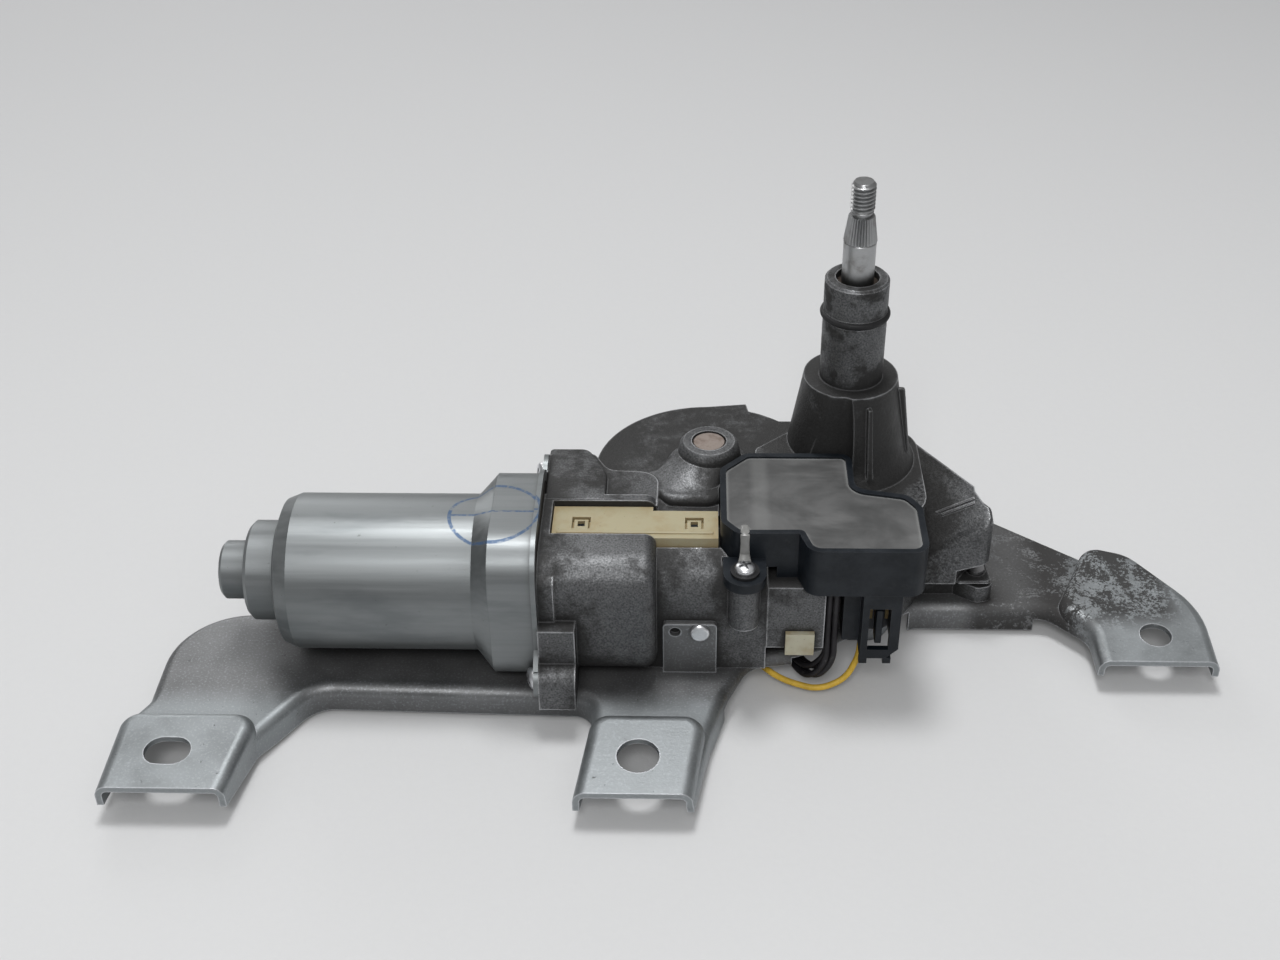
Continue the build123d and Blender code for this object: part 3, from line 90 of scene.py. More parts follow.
def camera_rotation(dip, heading, roll):
    """Rotation matrix of a camera from its three angles."""
    level = Vector((math.cos(heading), math.sin(heading), 0))
    ahead = Vector((-math.sin(heading), math.cos(heading), 0))
    forward = math.cos(dip) * ahead - Vector((0, 0, math.sin(dip)))
    above = level.cross(forward)
    right = math.cos(roll) * level + math.sin(roll) * above
    up = math.cos(roll) * above - math.sin(roll) * level
    return Matrix((right, up, -forward)).transposed()


camera_data = bpy.data.cameras.new("camera")
camera_data.sensor_width = SENSOR_WIDTH_MM
camera_data.lens = FOCAL_LENGTH_PX / IMAGE_WIDTH_PX * SENSOR_WIDTH_MM
camera_data.clip_start = 0.01
camera = bpy.data.objects.new("camera", camera_data)
turn = camera_rotation(CAMERA_DIP, CAMERA_HEADING, CAMERA_ROLL)
camera.matrix_world = Matrix.Translation(CAMERA_PLACE) @ turn.to_4x4()
bpy.context.scene.collection.objects.link(camera)
bpy.context.scene.camera = camera
bpy.context.scene.view_settings.view_transform = "Standard"
print("lens in mm:", round(camera_data.lens, 2))

# %% [markdown]
# ## Shader maths as Python
# A material is a graph of nodes, and a long formula in it is hard to read as node after node.
# One small class wraps an output socket and overloads + - * / so that `1 - mask` adds the Math
# node by itself. A second class owns the material and adds any other node by its type. Colours
# go through Mix nodes, since a Math node would turn a colour grey. Every pattern starts from
# the surface's own place, so it moves with its piece.

# %% Sockets that add and multiply


class Wire:
    """An output socket that can be used in Python expressions."""

    def __init__(self, finish, socket):
        self.finish = finish
        self.socket = socket

    def maths(self, operation, first, second):
        return self.finish.node("ShaderNodeMath", {"operation": operation}, {0: first, 1: second})

    def __add__(self, other):
        return self.maths("ADD", self, other)

    def __sub__(self, other):
        return self.maths("SUBTRACT", self, other)

    def __mul__(self, other):
        return self.maths("MULTIPLY", self, other)

    def __truediv__(self, other):
        return self.maths("DIVIDE", self, other)

    def __radd__(self, other):
        return self.maths("ADD", other, self)

    def __rsub__(self, other):
        return self.maths("SUBTRACT", other, self)


class Finish:
    """A material under construction."""

    def __init__(self, name):
        self.material = bpy.data.materials.new(name)
        self.material.use_nodes = True
        self.tree = self.material.node_tree
        self.tree.nodes.clear()
        self.place = self.node("ShaderNodeTexCoord", out="Object")

    def node(self, kind, settings=None, inputs=None, out=0):
        """Adds one node. Settings are set first, then values or links go to its sockets."""
        made = self.tree.nodes.new(kind)
        for key, value in (settings or {}).items():
            setattr(made, key, value)
        for key, value in (inputs or {}).items():
            self.feed(made.inputs[key], value)
        return Wire(self, made.outputs[out])

    def feed(self, socket, value):
        """Links a wire to a socket, or sets a constant on it."""
        if isinstance(value, Wire):
            self.tree.links.new(value.socket, socket)
        else:
            socket.default_value = value

    def stretched(self, stretch):
        """The surface's own place, stretched along X, Y and Z."""
        if stretch == (1, 1, 1):
            return self.place
        return self.node("ShaderNodeVectorMath", {"operation": "MULTIPLY"}, {0: self.place, 1: stretch})

    def noise(self, size, detail=3.0, roughness=0.55, stretch=(1, 1, 1), distortion=0.0):
        """Cloudy pattern from 0 to 1 whose patches are about as large as the size."""
        return self.node("ShaderNodeTexNoise", None, {
            "Vector": self.stretched(stretch), "Scale": 1 / size, "Detail": detail,
            "Roughness": roughness, "Distortion": distortion}, "Fac")

    def between(self, value, low, high, start=0.0, end=1.0):
        """Soft step of a value from start to end."""
        return self.node("ShaderNodeMapRange", {"interpolation_type": "SMOOTHSTEP"},
                         {0: value, 1: low, 2: high, 3: start, 4: end})

    def mix(self, share, first, second):
        """Colour between two colours."""
        made = self.tree.nodes.new("ShaderNodeMix")
        made.data_type = "RGBA"
        self.feed(made.inputs[0], share)
        for key, value in ((6, first), (7, second)):
            self.feed(made.inputs[key], value if isinstance(value, Wire) else (*value, 1))
        return Wire(self, made.outputs[2])

    def axis(self, name):
        """One coordinate of the surface's place."""
        return self.node("ShaderNodeSeparateXYZ", None, {0: self.place}, name)

    def either(self, first, second):
        """The larger of two masks."""
        return self.node("ShaderNodeMath", {"operation": "MAXIMUM"}, {0: first, 1: second})

    def away(self, value):
        """A value without its sign."""
        return self.node("ShaderNodeMath", {"operation": "ABSOLUTE"}, {0: value})

    def distance(self, across, along):
        """Length of the two sides' diagonal."""
        return self.node("ShaderNodeMath", {"operation": "SQRT"}, {0: across * across + along * along})

    def limited(self, value):
        """A value kept between 0 and 1."""
        return self.node("ShaderNodeClamp", None, {"Value": value})

    def hollows(self, reach):
        """1 in the open and less in corners and recesses."""
        return self.node("ShaderNodeAmbientOcclusion", {"samples": 8}, {"Distance": reach}, "AO")

    def edges(self, radius):
        """1 along sharp edges, 0 on open faces."""
        soft = self.node("ShaderNodeBevel", {"samples": 4}, {"Radius": radius})
        flat = self.node("ShaderNodeNewGeometry", out="Normal")
        alike = self.node("ShaderNodeVectorMath", {"operation": "DOT_PRODUCT"}, {0: soft, 1: flat}, "Value")
        return self.between(alike, 0.985, 0.80)

    def bump(self, height, depth, strength):
        """Small relief; height 1 stands this much above height 0."""
        return self.node("ShaderNodeBump", None, {"Height": height, "Distance": depth, "Strength": strength})

    def surface(self, **sockets):
        """Ends the material in a Principled shader and gives the material back."""
        names = {key.replace("_", " "): value for key, value in sockets.items()}
        for key, value in names.items():
            if isinstance(value, tuple) and key.endswith("Color"):
                names[key] = (*value, 1)
        shader = self.node("ShaderNodeBsdfPrincipled", None, names, "BSDF")
        output = self.tree.nodes.new("ShaderNodeOutputMaterial")
        self.tree.links.new(shader.socket, output.inputs["Surface"])
        return self.material


def paler(tone, factor, lift=0.0):
    """A lighter tone of the same hue."""
    return tuple(min(1.0, factor * part + lift) for part in tone)


print("shader helpers ready")

# %% [markdown]
# ## Floor
# The motor lies on a pale sheet of paper. The sheet is one large diffuse face that keeps the
# soft shadows, and a slow change of its colour along Y stands for light that falls off with
# distance. A little glow, for the camera alone, lifts the paper without lighting the motor.

# %% The floor
FLOOR_HALF = 3.0
FLOOR_Z = CAD_BOX[0][2]
FLOOR_GLOW = (0.06, 0.06, 0.06)


def floor_finish():
    """Matt paper with a faint grain."""
    finish = Finish("floor_sheet")
    grain = finish.noise(0.002, 4.0, 0.7)
    far = finish.between(finish.axis("Y"), -0.25, 0.75)
    tone = finish.mix(far, (0.63, 0.635, 0.64), (0.47, 0.473, 0.48))
    tone = finish.mix(grain * 0.10, tone, (0.40, 0.40, 0.41))
    seen = finish.node("ShaderNodeLightPath", out="Is Camera Ray")
    glow = finish.mix(seen, (0, 0, 0), FLOOR_GLOW)
    return finish.surface(
        Base_Color=tone, Roughness=0.85, Specular_IOR_Level=0.2, Emission_Color=glow,
        Emission_Strength=1.0, Normal=finish.bump(grain, 0.0002, 0.4))


def mesh_piece(name, vertices, faces, material, smooth=True):
    """Object at the origin with its place in its mesh."""
    mesh = bpy.data.meshes.new(name)
    mesh.from_pydata([tuple(point) for point in vertices], [], faces)
    mesh.validate()
    if smooth:
        mesh.shade_smooth()
    else:
        mesh.shade_flat()
    mesh.materials.append(material)
    piece = bpy.data.objects.new(name, mesh)
    bpy.context.scene.collection.objects.link(piece)
    return piece


floor_corners = [(x * FLOOR_HALF, y * FLOOR_HALF, FLOOR_Z) for x, y in ((-1, -1), (1, -1), (1, 1), (-1, 1))]
floor = mesh_piece("floor", floor_corners, [(0, 1, 2, 3)], floor_finish(), smooth=False)
print("floor at z", round(FLOOR_Z, 4))

# %% [markdown]
# ## Light
# Bare metal shows what it mirrors, so the lamps are placed by the bands they leave on the
# round can: one above and slightly behind, which also throws the shadows forward, and one
# high in front, which draws a line along the can's side. Two weak lamps open up the right
# end and the back. The world is brighter above than at its horizon, so upright walls stay
# darker than tops.

# %% World and lamps
SKY_TOP = 0.46
SKY_HORIZON = 0.22
SKY_REACH = 0.9
LAMPS = {
    "overhead": ((-0.10, 0.14, 1.1), 0.30, 7.0),
    "front_band": ((-0.12, -0.80, 0.85), 0.35, 3.8),
    "front_fill": ((0.5, -0.9, 0.8), 0.5, 0.6),
    "back_fill": ((-0.5, 1.0, 0.45), 0.5, 2.0),
}
LAMP_TARGET = Vector((0, 0, -0.03))


def area_lamp(name, place, size, power):
    """Square lamp that faces the motor."""
    lamp = bpy.data.lights.new(name, "AREA")
    lamp.size = size
    lamp.energy = power
    holder = bpy.data.objects.new(name, lamp)
    facing = (Vector(place) - LAMP_TARGET).to_track_quat("Z", "Y").to_matrix().to_4x4()
    holder.matrix_world = Matrix.Translation(place) @ facing
    bpy.context.scene.collection.objects.link(holder)


world = bpy.data.worlds.new("studio")
bpy.context.scene.world = world
world.use_nodes = True
sky = world.node_tree
sky.nodes.clear()
sky_place = sky.nodes.new("ShaderNodeTexCoord")
sky_height = sky.nodes.new("ShaderNodeSeparateXYZ")
sky_level = sky.nodes.new("ShaderNodeMapRange")
sky_light = sky.nodes.new("ShaderNodeBackground")
sky_output = sky.nodes.new("ShaderNodeOutputWorld")
sky_range = {"From Min": 0.0, "From Max": SKY_REACH, "To Min": SKY_HORIZON, "To Max": SKY_TOP}
for socket, value in sky_range.items():
    sky_level.inputs[socket].default_value = value
sky.links.new(sky_place.outputs["Generated"], sky_height.inputs[0])
sky.links.new(sky_height.outputs["Z"], sky_level.inputs["Value"])
sky.links.new(sky_level.outputs["Result"], sky_light.inputs["Strength"])
sky.links.new(sky_light.outputs["Background"], sky_output.inputs["Surface"])
for name, (place, size, power) in LAMPS.items():
    area_lamp(name, place, size, power)
print("lamps:", len(LAMPS))

# %% [markdown]
# ## Die casting
# A die casting is grey with a fine sandy speckle, dark with dirt in patches and with painted
# shade in its corners, and bright where its edges are worn. The speckle is small noise, the
# painted shade in the corners comes from an Ambient Occlusion node and the worn edges from a
# Bevel node. Both read the real shape, so there is no need to paint a mask. Some places are
# dirtier than others: the tower, where water ran down the spindle, the gearbox roof, the block
# by the can and the web's top. Soft steps of X, Y and Z pick those out.

# %% Cast aluminium


def cast_finish(name, tone, grime_and_shade):
    """Bare die casting; grime_and_shade is the share of dirt and painted shade it carries."""
    finish = Finish(name)
    x_place, y_place, z_place = (finish.axis(letter) for letter in "XYZ")
    grit = finish.noise(0.00045, 2.0, 0.6)
    cloud = finish.noise(0.012, 4.0, 0.6)
    colour = finish.mix(finish.between(cloud, 0.35, 0.7), tone, paler(tone, 1.35))
    colour = finish.mix(finish.between(grit, 0.52, 0.70) * 0.24, colour, (0.42, 0.425, 0.435))
    colour = finish.mix(finish.between(grit, 0.49, 0.37) * 0.50, colour, (0.04, 0.04, 0.042))

    web = finish.between(x_place, 0.014, 0.018) * finish.between(x_place + y_place * -0.25, 0.041, 0.022)
    coarse = finish.between(finish.noise(0.0010, 4.0, 0.8), 0.46, 0.56) * web
    colour = finish.mix(coarse * 0.95, colour, (0.022, 0.022, 0.023))

    from_axis = finish.distance(x_place, y_place)
    tower = finish.between(from_axis, 0.0235, 0.0175) * finish.between(z_place, 0.0012, -0.0015)
    tube = finish.between(z_place, 0.0, 0.001) * finish.between(finish.noise(0.008, 3.0, 0.6), 0.50, 0.62)
    block = finish.between(x_place, -0.052, -0.060) * finish.between(y_place, -0.030, -0.026)
    roof = finish.between(z_place, -0.0262, -0.0254) * finish.between(z_place, -0.0238, -0.0246)
    roof = roof * finish.between(y_place, -0.012, 0.002)
    dirtier = tower * 0.33 + tube * 0.20 + block * 0.16 + roof * 0.24
    # Painted shade: the Ambient Occlusion term darkens corners and recesses, and is added to the dirt patches
    # below.
    hollow_shade = 1 - finish.hollows(0.012)
    patches = finish.noise(0.006, 6.0, 0.75) + hollow_shade * 0.75 + dirtier
    dirt_and_shade = finish.between(patches, 0.62 - grime_and_shade, 0.92 - grime_and_shade) * 0.92
    colour = finish.mix(dirt_and_shade, colour, (0.014, 0.0135, 0.013))

    worn = finish.edges(0.0007) * (1 - dirt_and_shade * 0.8)
    colour = finish.mix(worn, colour, (0.66, 0.67, 0.69))
    rough = finish.between(cloud, 0.3, 0.7, 0.42, 0.56) + dirt_and_shade * 0.16 - worn * 0.12 - tower * 0.20
    clots = finish.noise(0.0016, 5.0, 0.75)
    relief = finish.bump(grit + clots * dirt_and_shade * 2.2, 0.00014, 0.6)
    return finish.surface(Base_Color=colour, Metallic=0.85 - dirt_and_shade * 0.7, Roughness=rough, Normal=relief)


housing_metal = cast_finish("cast_aluminium", (0.132, 0.135, 0.139), 0.14)
print("casting finish:", housing_metal.name)

# %% [markdown]
# ## Zinc plated pressing
# The bracket is stamped from steel strip and plated. Zinc dulls to a soft blue grey, and the
# feet are painted paler than the middle, as a painted sheen of the light they reflect. Dirt has
# run down over the right arm in small black grains. It is fine noise plus slow noise: the slow
# one says where the stain lies, the fine one breaks it up. Corners get painted shade as well.

# %% Zinc plated pressing
FEET_FRONT = -0.062
RIGHT_FOOT_X = 0.061


def bracket_finish():
    """Dull plating with a painted sheen on the feet, painted shade in its corners and a stain on the right
    arm.
    """
    finish = Finish("zinc_plate")
    x_place = finish.axis("X")
    y_place = finish.axis("Y")
    ends = finish.between(y_place, FEET_FRONT + 0.006, FEET_FRONT - 0.004)
    right_end = finish.between(x_place, RIGHT_FOOT_X - 0.012, RIGHT_FOOT_X + 0.010)
    # Painted sheen: the feet and the right end are painted paler than the middle, for the light they reflect.
    feet_sheen = finish.either(ends, right_end)
    patch = finish.noise(0.011, 5.0, 0.62)
    fine = finish.noise(0.0006, 3.0, 0.6)
    dull = finish.mix(patch, (0.12, 0.122, 0.124), (0.29, 0.295, 0.30))
    bright = finish.mix(patch, (0.27, 0.288, 0.296), (0.39, 0.415, 0.43))
    colour = finish.mix(feet_sheen, dull, bright)
    colour = finish.mix(finish.between(fine, 0.50, 0.72) * 0.30, colour, (0.56, 0.59, 0.62))
    zone = finish.between(x_place, 0.030, 0.036) * finish.between(x_place, 0.046, 0.058, 0.60, 1.0)
    zone = zone * finish.between(x_place, 0.092, 0.080) * finish.between(y_place, -0.038, -0.026)
    grain = finish.noise(0.0008, 5.0, 0.8) * 0.60 + finish.noise(0.010, 5.0, 0.65, distortion=0.6) * 0.75
    stain = finish.between(grain, 0.598, 0.655) * zone
    open_air = finish.hollows(0.010)
    specks = finish.between(finish.noise(0.0022, 5.0, 0.8), 0.64, 0.70)
    # Painted shade: the Ambient Occlusion term darkens corners and recesses, less on the feet, and joins the
    # stain and specks.
    dirt_and_shade = finish.limited(stain * 1.1 + (1 - open_air) * (1 - feet_sheen * 0.5) * 0.9 + specks * 0.75)
    colour = finish.mix(dirt_and_shade * 0.92, colour, (0.020, 0.018, 0.017))
    worn = finish.edges(0.0006) * (1 - dirt_and_shade * 0.7)
    colour = finish.mix(worn, colour, (0.72, 0.74, 0.77))
    rough = finish.between(patch, 0.3, 0.75, 0.40, 0.55) + dirt_and_shade * 0.3
    scratch = finish.noise(0.0011, 2.0, 0.5, stretch=(0.08, 1, 1))
    relief = finish.bump(fine + scratch * 0.5, 0.00006, 0.5)
    return finish.surface(Base_Color=colour, Metallic=0.92 - dirt_and_shade * 0.7, Roughness=rough, Normal=relief)


plated_sheet = bracket_finish()
print("pressing finish:", plated_sheet.name)

# %% [markdown]
# ## Drawn can
# The motor's can is drawn from zinc plated sheet. The tool leaves faint lines along its
# length, so the noise is squeezed across the axis and stretched along it. An inspector's ink
# ring with a plain bar sits on top. A flat disc would look squashed on the curved wall, so one
# of its two coordinates is the length of the arc round the can, from an angle times a radius.

# %% The can's finish
CAN_AXIS = (-0.0367, -0.036)
CAN_RADIUS = 0.0198
STAMP_CENTRE = (-0.0883, -0.0024)
STAMP_RADII = (0.0112, 0.0095)


def can_finish():
    """Drawn zinc with streaks along X and a worn ink ring."""
    finish = Finish("can_zinc")
    streak = finish.noise(0.0016, 4.0, 0.6, stretch=(0.03, 1, 1))
    broad = finish.noise(0.009, 4.0, 0.6, stretch=(0.25, 1, 1))
    colour = finish.mix(streak, (0.19, 0.205, 0.210), (0.31, 0.325, 0.33))
    colour = finish.mix(finish.between(broad, 0.52, 0.72) * 0.5, colour, (0.15, 0.165, 0.172))
    specks = finish.between(finish.noise(0.0016, 4.0, 0.7), 0.69, 0.73)
    # Painted shade: the Ambient Occlusion term darkens the can's corners and recesses, together with dark
    # specks of dirt.
    open_air = finish.hollows(0.010)
    dirt_and_shade = finish.limited(specks * 0.6 + (1 - open_air) * 0.75)
    colour = finish.mix(dirt_and_shade, colour, (0.045, 0.045, 0.045))
    turn = finish.node("ShaderNodeMath", {"operation": "ARCTAN2"},
                       {0: finish.axis("Y") - CAN_AXIS[0], 1: finish.axis("Z") - CAN_AXIS[1]})
    across = (finish.axis("X") - STAMP_CENTRE[0]) / STAMP_RADII[0]
    along = (turn * CAN_RADIUS - STAMP_CENTRE[1]) / STAMP_RADII[1]
    reach = finish.distance(across, along)
    ring = finish.between(finish.away(reach - 1), 0.050, 0.028)
    bar = finish.between(finish.away(along), 0.040, 0.022) * finish.between(reach, 1.0, 0.96)
    ink = finish.either(ring, bar) * finish.between(finish.axis("Z"), -0.0260, -0.0240)
    ink = ink * finish.between(finish.noise(0.0012, 4.0, 0.7), 0.30, 0.55)
    colour = finish.mix(ink * 0.85, colour, (0.030, 0.085, 0.19))
    rough = finish.between(streak, 0.2, 0.8, 0.38, 0.52) + dirt_and_shade * 0.25
    relief = finish.bump(streak, 0.00005, 0.6)
    metal = 0.93 - ink * 0.6 - dirt_and_shade * 0.4
    return finish.surface(Base_Color=colour, Metallic=metal, Roughness=rough, Normal=relief)


can_metal = can_finish()
print("can finish:", can_metal.name)

# %% [markdown]
# ## Steels, brass and the parts inside
# A turned steel part shows fine rings, a stamped one fine scatter. Both are the same graph
# with another stretch of its noise, so one function makes them all from a tone, a roughness
# and a direction. The hidden parts get it too, because a buyer may open the housing.

# %% Plain metals


def metal_finish(name, tone, rough, grain=(1, 1, 1), film=(0.10, 0.08, 0.06), share=0.25, metallic=0.95):
    """Metal with a fine grain and a thin film of oil or oxide."""
    finish = Finish(name)
    lines = finish.noise(0.0007, 3.0, 0.6, stretch=grain)
    cloud = finish.noise(0.005, 4.0, 0.6)
    colour = finish.mix(lines, tone, paler(tone, 1.3))
    colour = finish.mix(finish.between(cloud, 0.50, 0.72) * share, colour, film)
    # Painted shade: the Ambient Occlusion term darkens corners and recesses towards black.
    hollow_shade = 1 - finish.hollows(0.004)
    colour = finish.mix(hollow_shade * 0.7, colour, (0.03, 0.03, 0.03))
    relief = finish.bump(lines, 0.00004, 0.5)
    rough = rough + cloud * 0.16
    return finish.surface(Base_Color=colour, Metallic=metallic, Roughness=rough, Normal=relief)


ROUND_Z = (1, 1, 7)
FINISHES = {"cast_aluminium": housing_metal, "zinc_plate": plated_sheet, "can_zinc": can_metal}
for name, tone, rough, details in (
    ("cover_zinc", (0.42, 0.44, 0.46), 0.36, {"share": 0.4}),
    ("steel", (0.42, 0.42, 0.43), 0.30, {"grain": ROUND_Z}),
    ("shaft_steel", (0.38, 0.385, 0.39), 0.26, {"grain": (1, 1, 5), "share": 0.45}),
    ("sintered_bronze", (0.055, 0.035, 0.022), 0.55,
     {"film": (0.02, 0.015, 0.012), "share": 0.8, "metallic": 0.5}),
    ("wheel_pin_steel", (0.34, 0.29, 0.26), 0.42, {"film": (0.10, 0.05, 0.03), "share": 0.55}),
    ("brass", (0.36, 0.27, 0.13), 0.40, {}),
    ("screw_zinc", (0.66, 0.67, 0.69), 0.24, {"share": 0.15}),
    ("core_steel", (0.30, 0.30, 0.31), 0.40, {"grain": (12, 1, 1)}),
    ("copper_wire", (0.50, 0.18, 0.08), 0.35, {"grain": (1, 6, 6)}),
):
    FINISHES[name] = metal_finish(name, tone, rough, **details)
print("metals:", sorted(FINISHES))

# %% [markdown]
# ## Plastics and rubber
# A moulded plastic is fine grained and takes a soft gloss, its edges get a painted highlight,
# and dust settles on it in patches. Leads are sleeves with the same soft sheen. So the magnets,
# the brushes, the wheel, the grommet and the leads share one function and differ in numbers.

# %% Moulded plastics


def plastic_finish(name, tone, rough, dust=(0.30, 0.29, 0.27), share=0.18):
    """Moulded plastic or rubber with patches of dust and a painted highlight on its edges."""
    finish = Finish(name)
    fine = finish.noise(0.0005, 3.0, 0.6)
    cloud = finish.noise(0.007, 4.0, 0.65)
    colour = finish.mix(finish.between(cloud, 0.3, 0.75), tone, paler(tone, 1.5, 0.01))
    dusty = finish.between(finish.noise(0.003, 6.0, 0.75), 0.55, 0.75) * share
    colour = finish.mix(dusty, colour, dust)
    # Painted highlight: the edges are painted paler in the colour.
    colour = finish.mix(finish.edges(0.0004) * 0.35, colour, paler(tone, 2.2, 0.04))
    rough = rough + dusty * 0.8 + cloud * 0.1
    relief = finish.bump(fine, 0.00004, 0.6)
    return finish.surface(Base_Color=colour, Roughness=rough, Specular_IOR_Level=0.3, Normal=relief)


for name, tone, rough, details in (
    ("ferrite", (0.045, 0.045, 0.047), 0.55, {}),
    ("carbon", (0.022, 0.022, 0.023), 0.50, {}),
    ("card_plastic", (0.022, 0.018, 0.015), 0.50, {}),
    ("board", (0.03, 0.14, 0.06), 0.35, {}),
    ("nylon", (0.74, 0.71, 0.62), 0.40, {}),
    ("black_rubber", (0.012, 0.012, 0.013), 0.48, {}),
    ("black_plastic", (0.004, 0.0065, 0.010), 0.36, {"share": 0.03}),
    ("black_washer", (0.010, 0.010, 0.011), 0.40, {}),
    ("black_wire", (0.011, 0.010, 0.012), 0.38, {}),
    ("yellow_wire", (0.62, 0.40, 0.05), 0.40, {"dust": (0.20, 0.14, 0.05)}),
):
    FINISHES[name] = plastic_finish(name, tone, rough, **details)
print("metals and plastics:", len(FINISHES))

# %% [markdown]
# ## Aged cream nylon
# The terminal strip and its clip were moulded in white nylon. Heat has yellowed it, browner in
# patches, and its recesses are painted browner and darker as shade. An Ambient Occlusion node
# finds the recesses, and a little subsurface light keeps the thin walls from looking like painted metal.

# %% Cream nylon


def aged_cream(name, tone):
    """Cream nylon, yellowed, browner in patches and painted browner in its recesses as shade."""
    finish = Finish(name)
    cloud = finish.noise(0.006, 4.0, 0.6)
    fine = finish.noise(0.0007, 3.0, 0.6)
    # Painted shade: the Ambient Occlusion term browns and darkens the recesses, together with patches of
    # browner nylon.
    hollow_shade = 1 - finish.hollows(0.005)
    brown_and_shade = finish.between(cloud + hollow_shade * 0.5, 0.42, 0.85)
    colour = finish.mix(brown_and_shade * 0.8, tone, (0.33, 0.25, 0.13))
    specks = finish.between(finish.noise(0.0013, 5.0, 0.75), 0.62, 0.70)
    colour = finish.mix(specks * 0.5, colour, (0.12, 0.08, 0.05))
    return finish.surface(
        Base_Color=colour, Roughness=0.34 + cloud * 0.15, Subsurface_Weight=0.08,
        Subsurface_Radius=(1.0, 0.6, 0.3), Subsurface_Scale=0.001,
        Normal=finish.bump(fine, 0.00004, 0.5))


FINISHES["cream_plastic"] = aged_cream("cream_plastic", (0.40, 0.36, 0.235))
FINISHES["clip_plastic"] = aged_cream("clip_plastic", (0.52, 0.50, 0.38))
print("cream finishes ready")

# %% [markdown]
# ## Potting resin
# The relay unit is filled with smoky resin. It is poured as a liquid, so it lies nearly level
# and shows slow clouds, a milky streak near its left wall and a paler creep line where it
# wetted the case. The creep line is the Ambient Occlusion node again: the resin's own edge is
# the only place where something stands over it.

# %% Potting resin
MILKY_X = -0.0235


def resin_finish():
    """Smoky potting resin with a milky streak."""
    finish = Finish("potting")
    cloud = finish.noise(0.016, 4.0, 0.6, stretch=(1, 1.3, 1), distortion=0.5)
    streak = finish.between(finish.noise(0.011, 3.0, 0.5, stretch=(0.5, 1.6, 1)), 0.52, 0.70)
    smoke = finish.between(cloud, 0.35, 0.68)
    colour = finish.mix(smoke, (0.070, 0.071, 0.071), (0.115, 0.116, 0.116))
    colour = finish.mix(streak * 0.25, colour, (0.26, 0.262, 0.26))
    creep = finish.between(finish.hollows(0.0011), 0.93, 0.70)
    colour = finish.mix(creep * 0.40, colour, (0.36, 0.365, 0.36))
    milky = finish.between(finish.away(finish.axis("X") - MILKY_X), 0.0030, 0.0008)
    colour = finish.mix(milky * 0.20, colour, (0.30, 0.305, 0.30))
    rough = finish.between(cloud, 0.3, 0.7, 0.30, 0.46)
    slow = finish.noise(0.010, 2.0, 0.5)
    return finish.surface(
        Base_Color=colour, Roughness=rough, Coat_Weight=0.15, Coat_Roughness=0.25,
        Normal=finish.bump(slow, 0.00035, 0.5))


FINISHES["potting"] = resin_finish()
print("resin ready")

# %% [markdown]
# ## Handing the finishes out
# Every solid of the motor names the material it is made of. A loop over the model's record
# gives each solid the finish of that name, which is safer than 44 lines that could miss one.
# The solids themselves stay as they are: only their material slots change.

# %% Every slot gets its finish
for part in frame["record"]["subparts"]:
    for place in frame["nodes"][part["node"]].material_slots:
        place.material = FINISHES[part["material_slot"]]
print("finishes:", len(FINISHES))

# %% [markdown]
# ## Rings, skins and edges
# Turned parts are rings of points joined by a skin. Lathe tools and screw modifiers give the
# same, but rings also take a rule that changes the radius round the turn, as a thread needs.
# A turned or cast part is smooth except at its true edges. Shading smooth and marking every
# edge past an angle as sharp keeps both, without a modifier that has to be evaluated later.

# %% Helpers for turned shapes


def ring(radius, z, sides):
    """Points of a circle about Z; the radius is a number or a rule of height and angle."""
    angles = [2 * math.pi * side / sides for side in range(sides)]
    reach = [radius(z, a) if callable(radius) else radius for a in angles]
    return [(r * math.cos(a), r * math.sin(a), z) for r, a in zip(reach, angles)]


def skin(name, stack, material):
    """Closed mesh through a stack of rings, with a fan at each end."""
    points = [point for level in stack for point in level]
    count = len(stack[0])
    faces = []
    for level in range(len(stack) - 1):
        for side in range(count):
            following = (side + 1) % count
            faces.append((level * count + side, level * count + following,
                          (level + 1) * count + following, (level + 1) * count + side))
    for level, flip in ((0, True), (len(stack) - 1, False)):
        middle = len(points)
        points.append(tuple(sum(axis) / count for axis in zip(*stack[level])))
        for side in range(count):
            corner = (level * count + side, level * count + (side + 1) % count, middle)
            faces.append(corner[::-1] if flip else corner)
    return mesh_piece(name, points, faces, material)


@contextlib.contextmanager
def editing(piece):
    """Opens a piece's mesh in bmesh, and writes it back after the `with` block."""
    work = bmesh.new()
    work.from_mesh(piece.data)
    yield work
    work.to_mesh(piece.data)
    work.free()


def crisp(piece, angle=35.0):
    """Smooth shading with sharp edges kept past an angle in degrees."""
    with editing(piece) as work:
        for edge in work.edges:
            edge.smooth = len(edge.link_faces) == 2 and edge.calc_face_angle(0.0) < math.radians(angle)
        for face in work.faces:
            face.smooth = True
    return piece


print("helpers for turned shapes ready")

# %% [markdown]
# ## The threaded spindle
# The arm sits on a serrated cone and a nut on the thread above it holds it down. The solid
# shaft has a plain stud, so this piece stands for it with a real thread. A thread is a rule:
# the surface's radius depends on its height and on its angle, and one turn lifts it by the
# pitch. Rings of points up the shaft, each point at the radius the rule gives, make it all:
# journal, cone, serrations and thread in one closed skin.

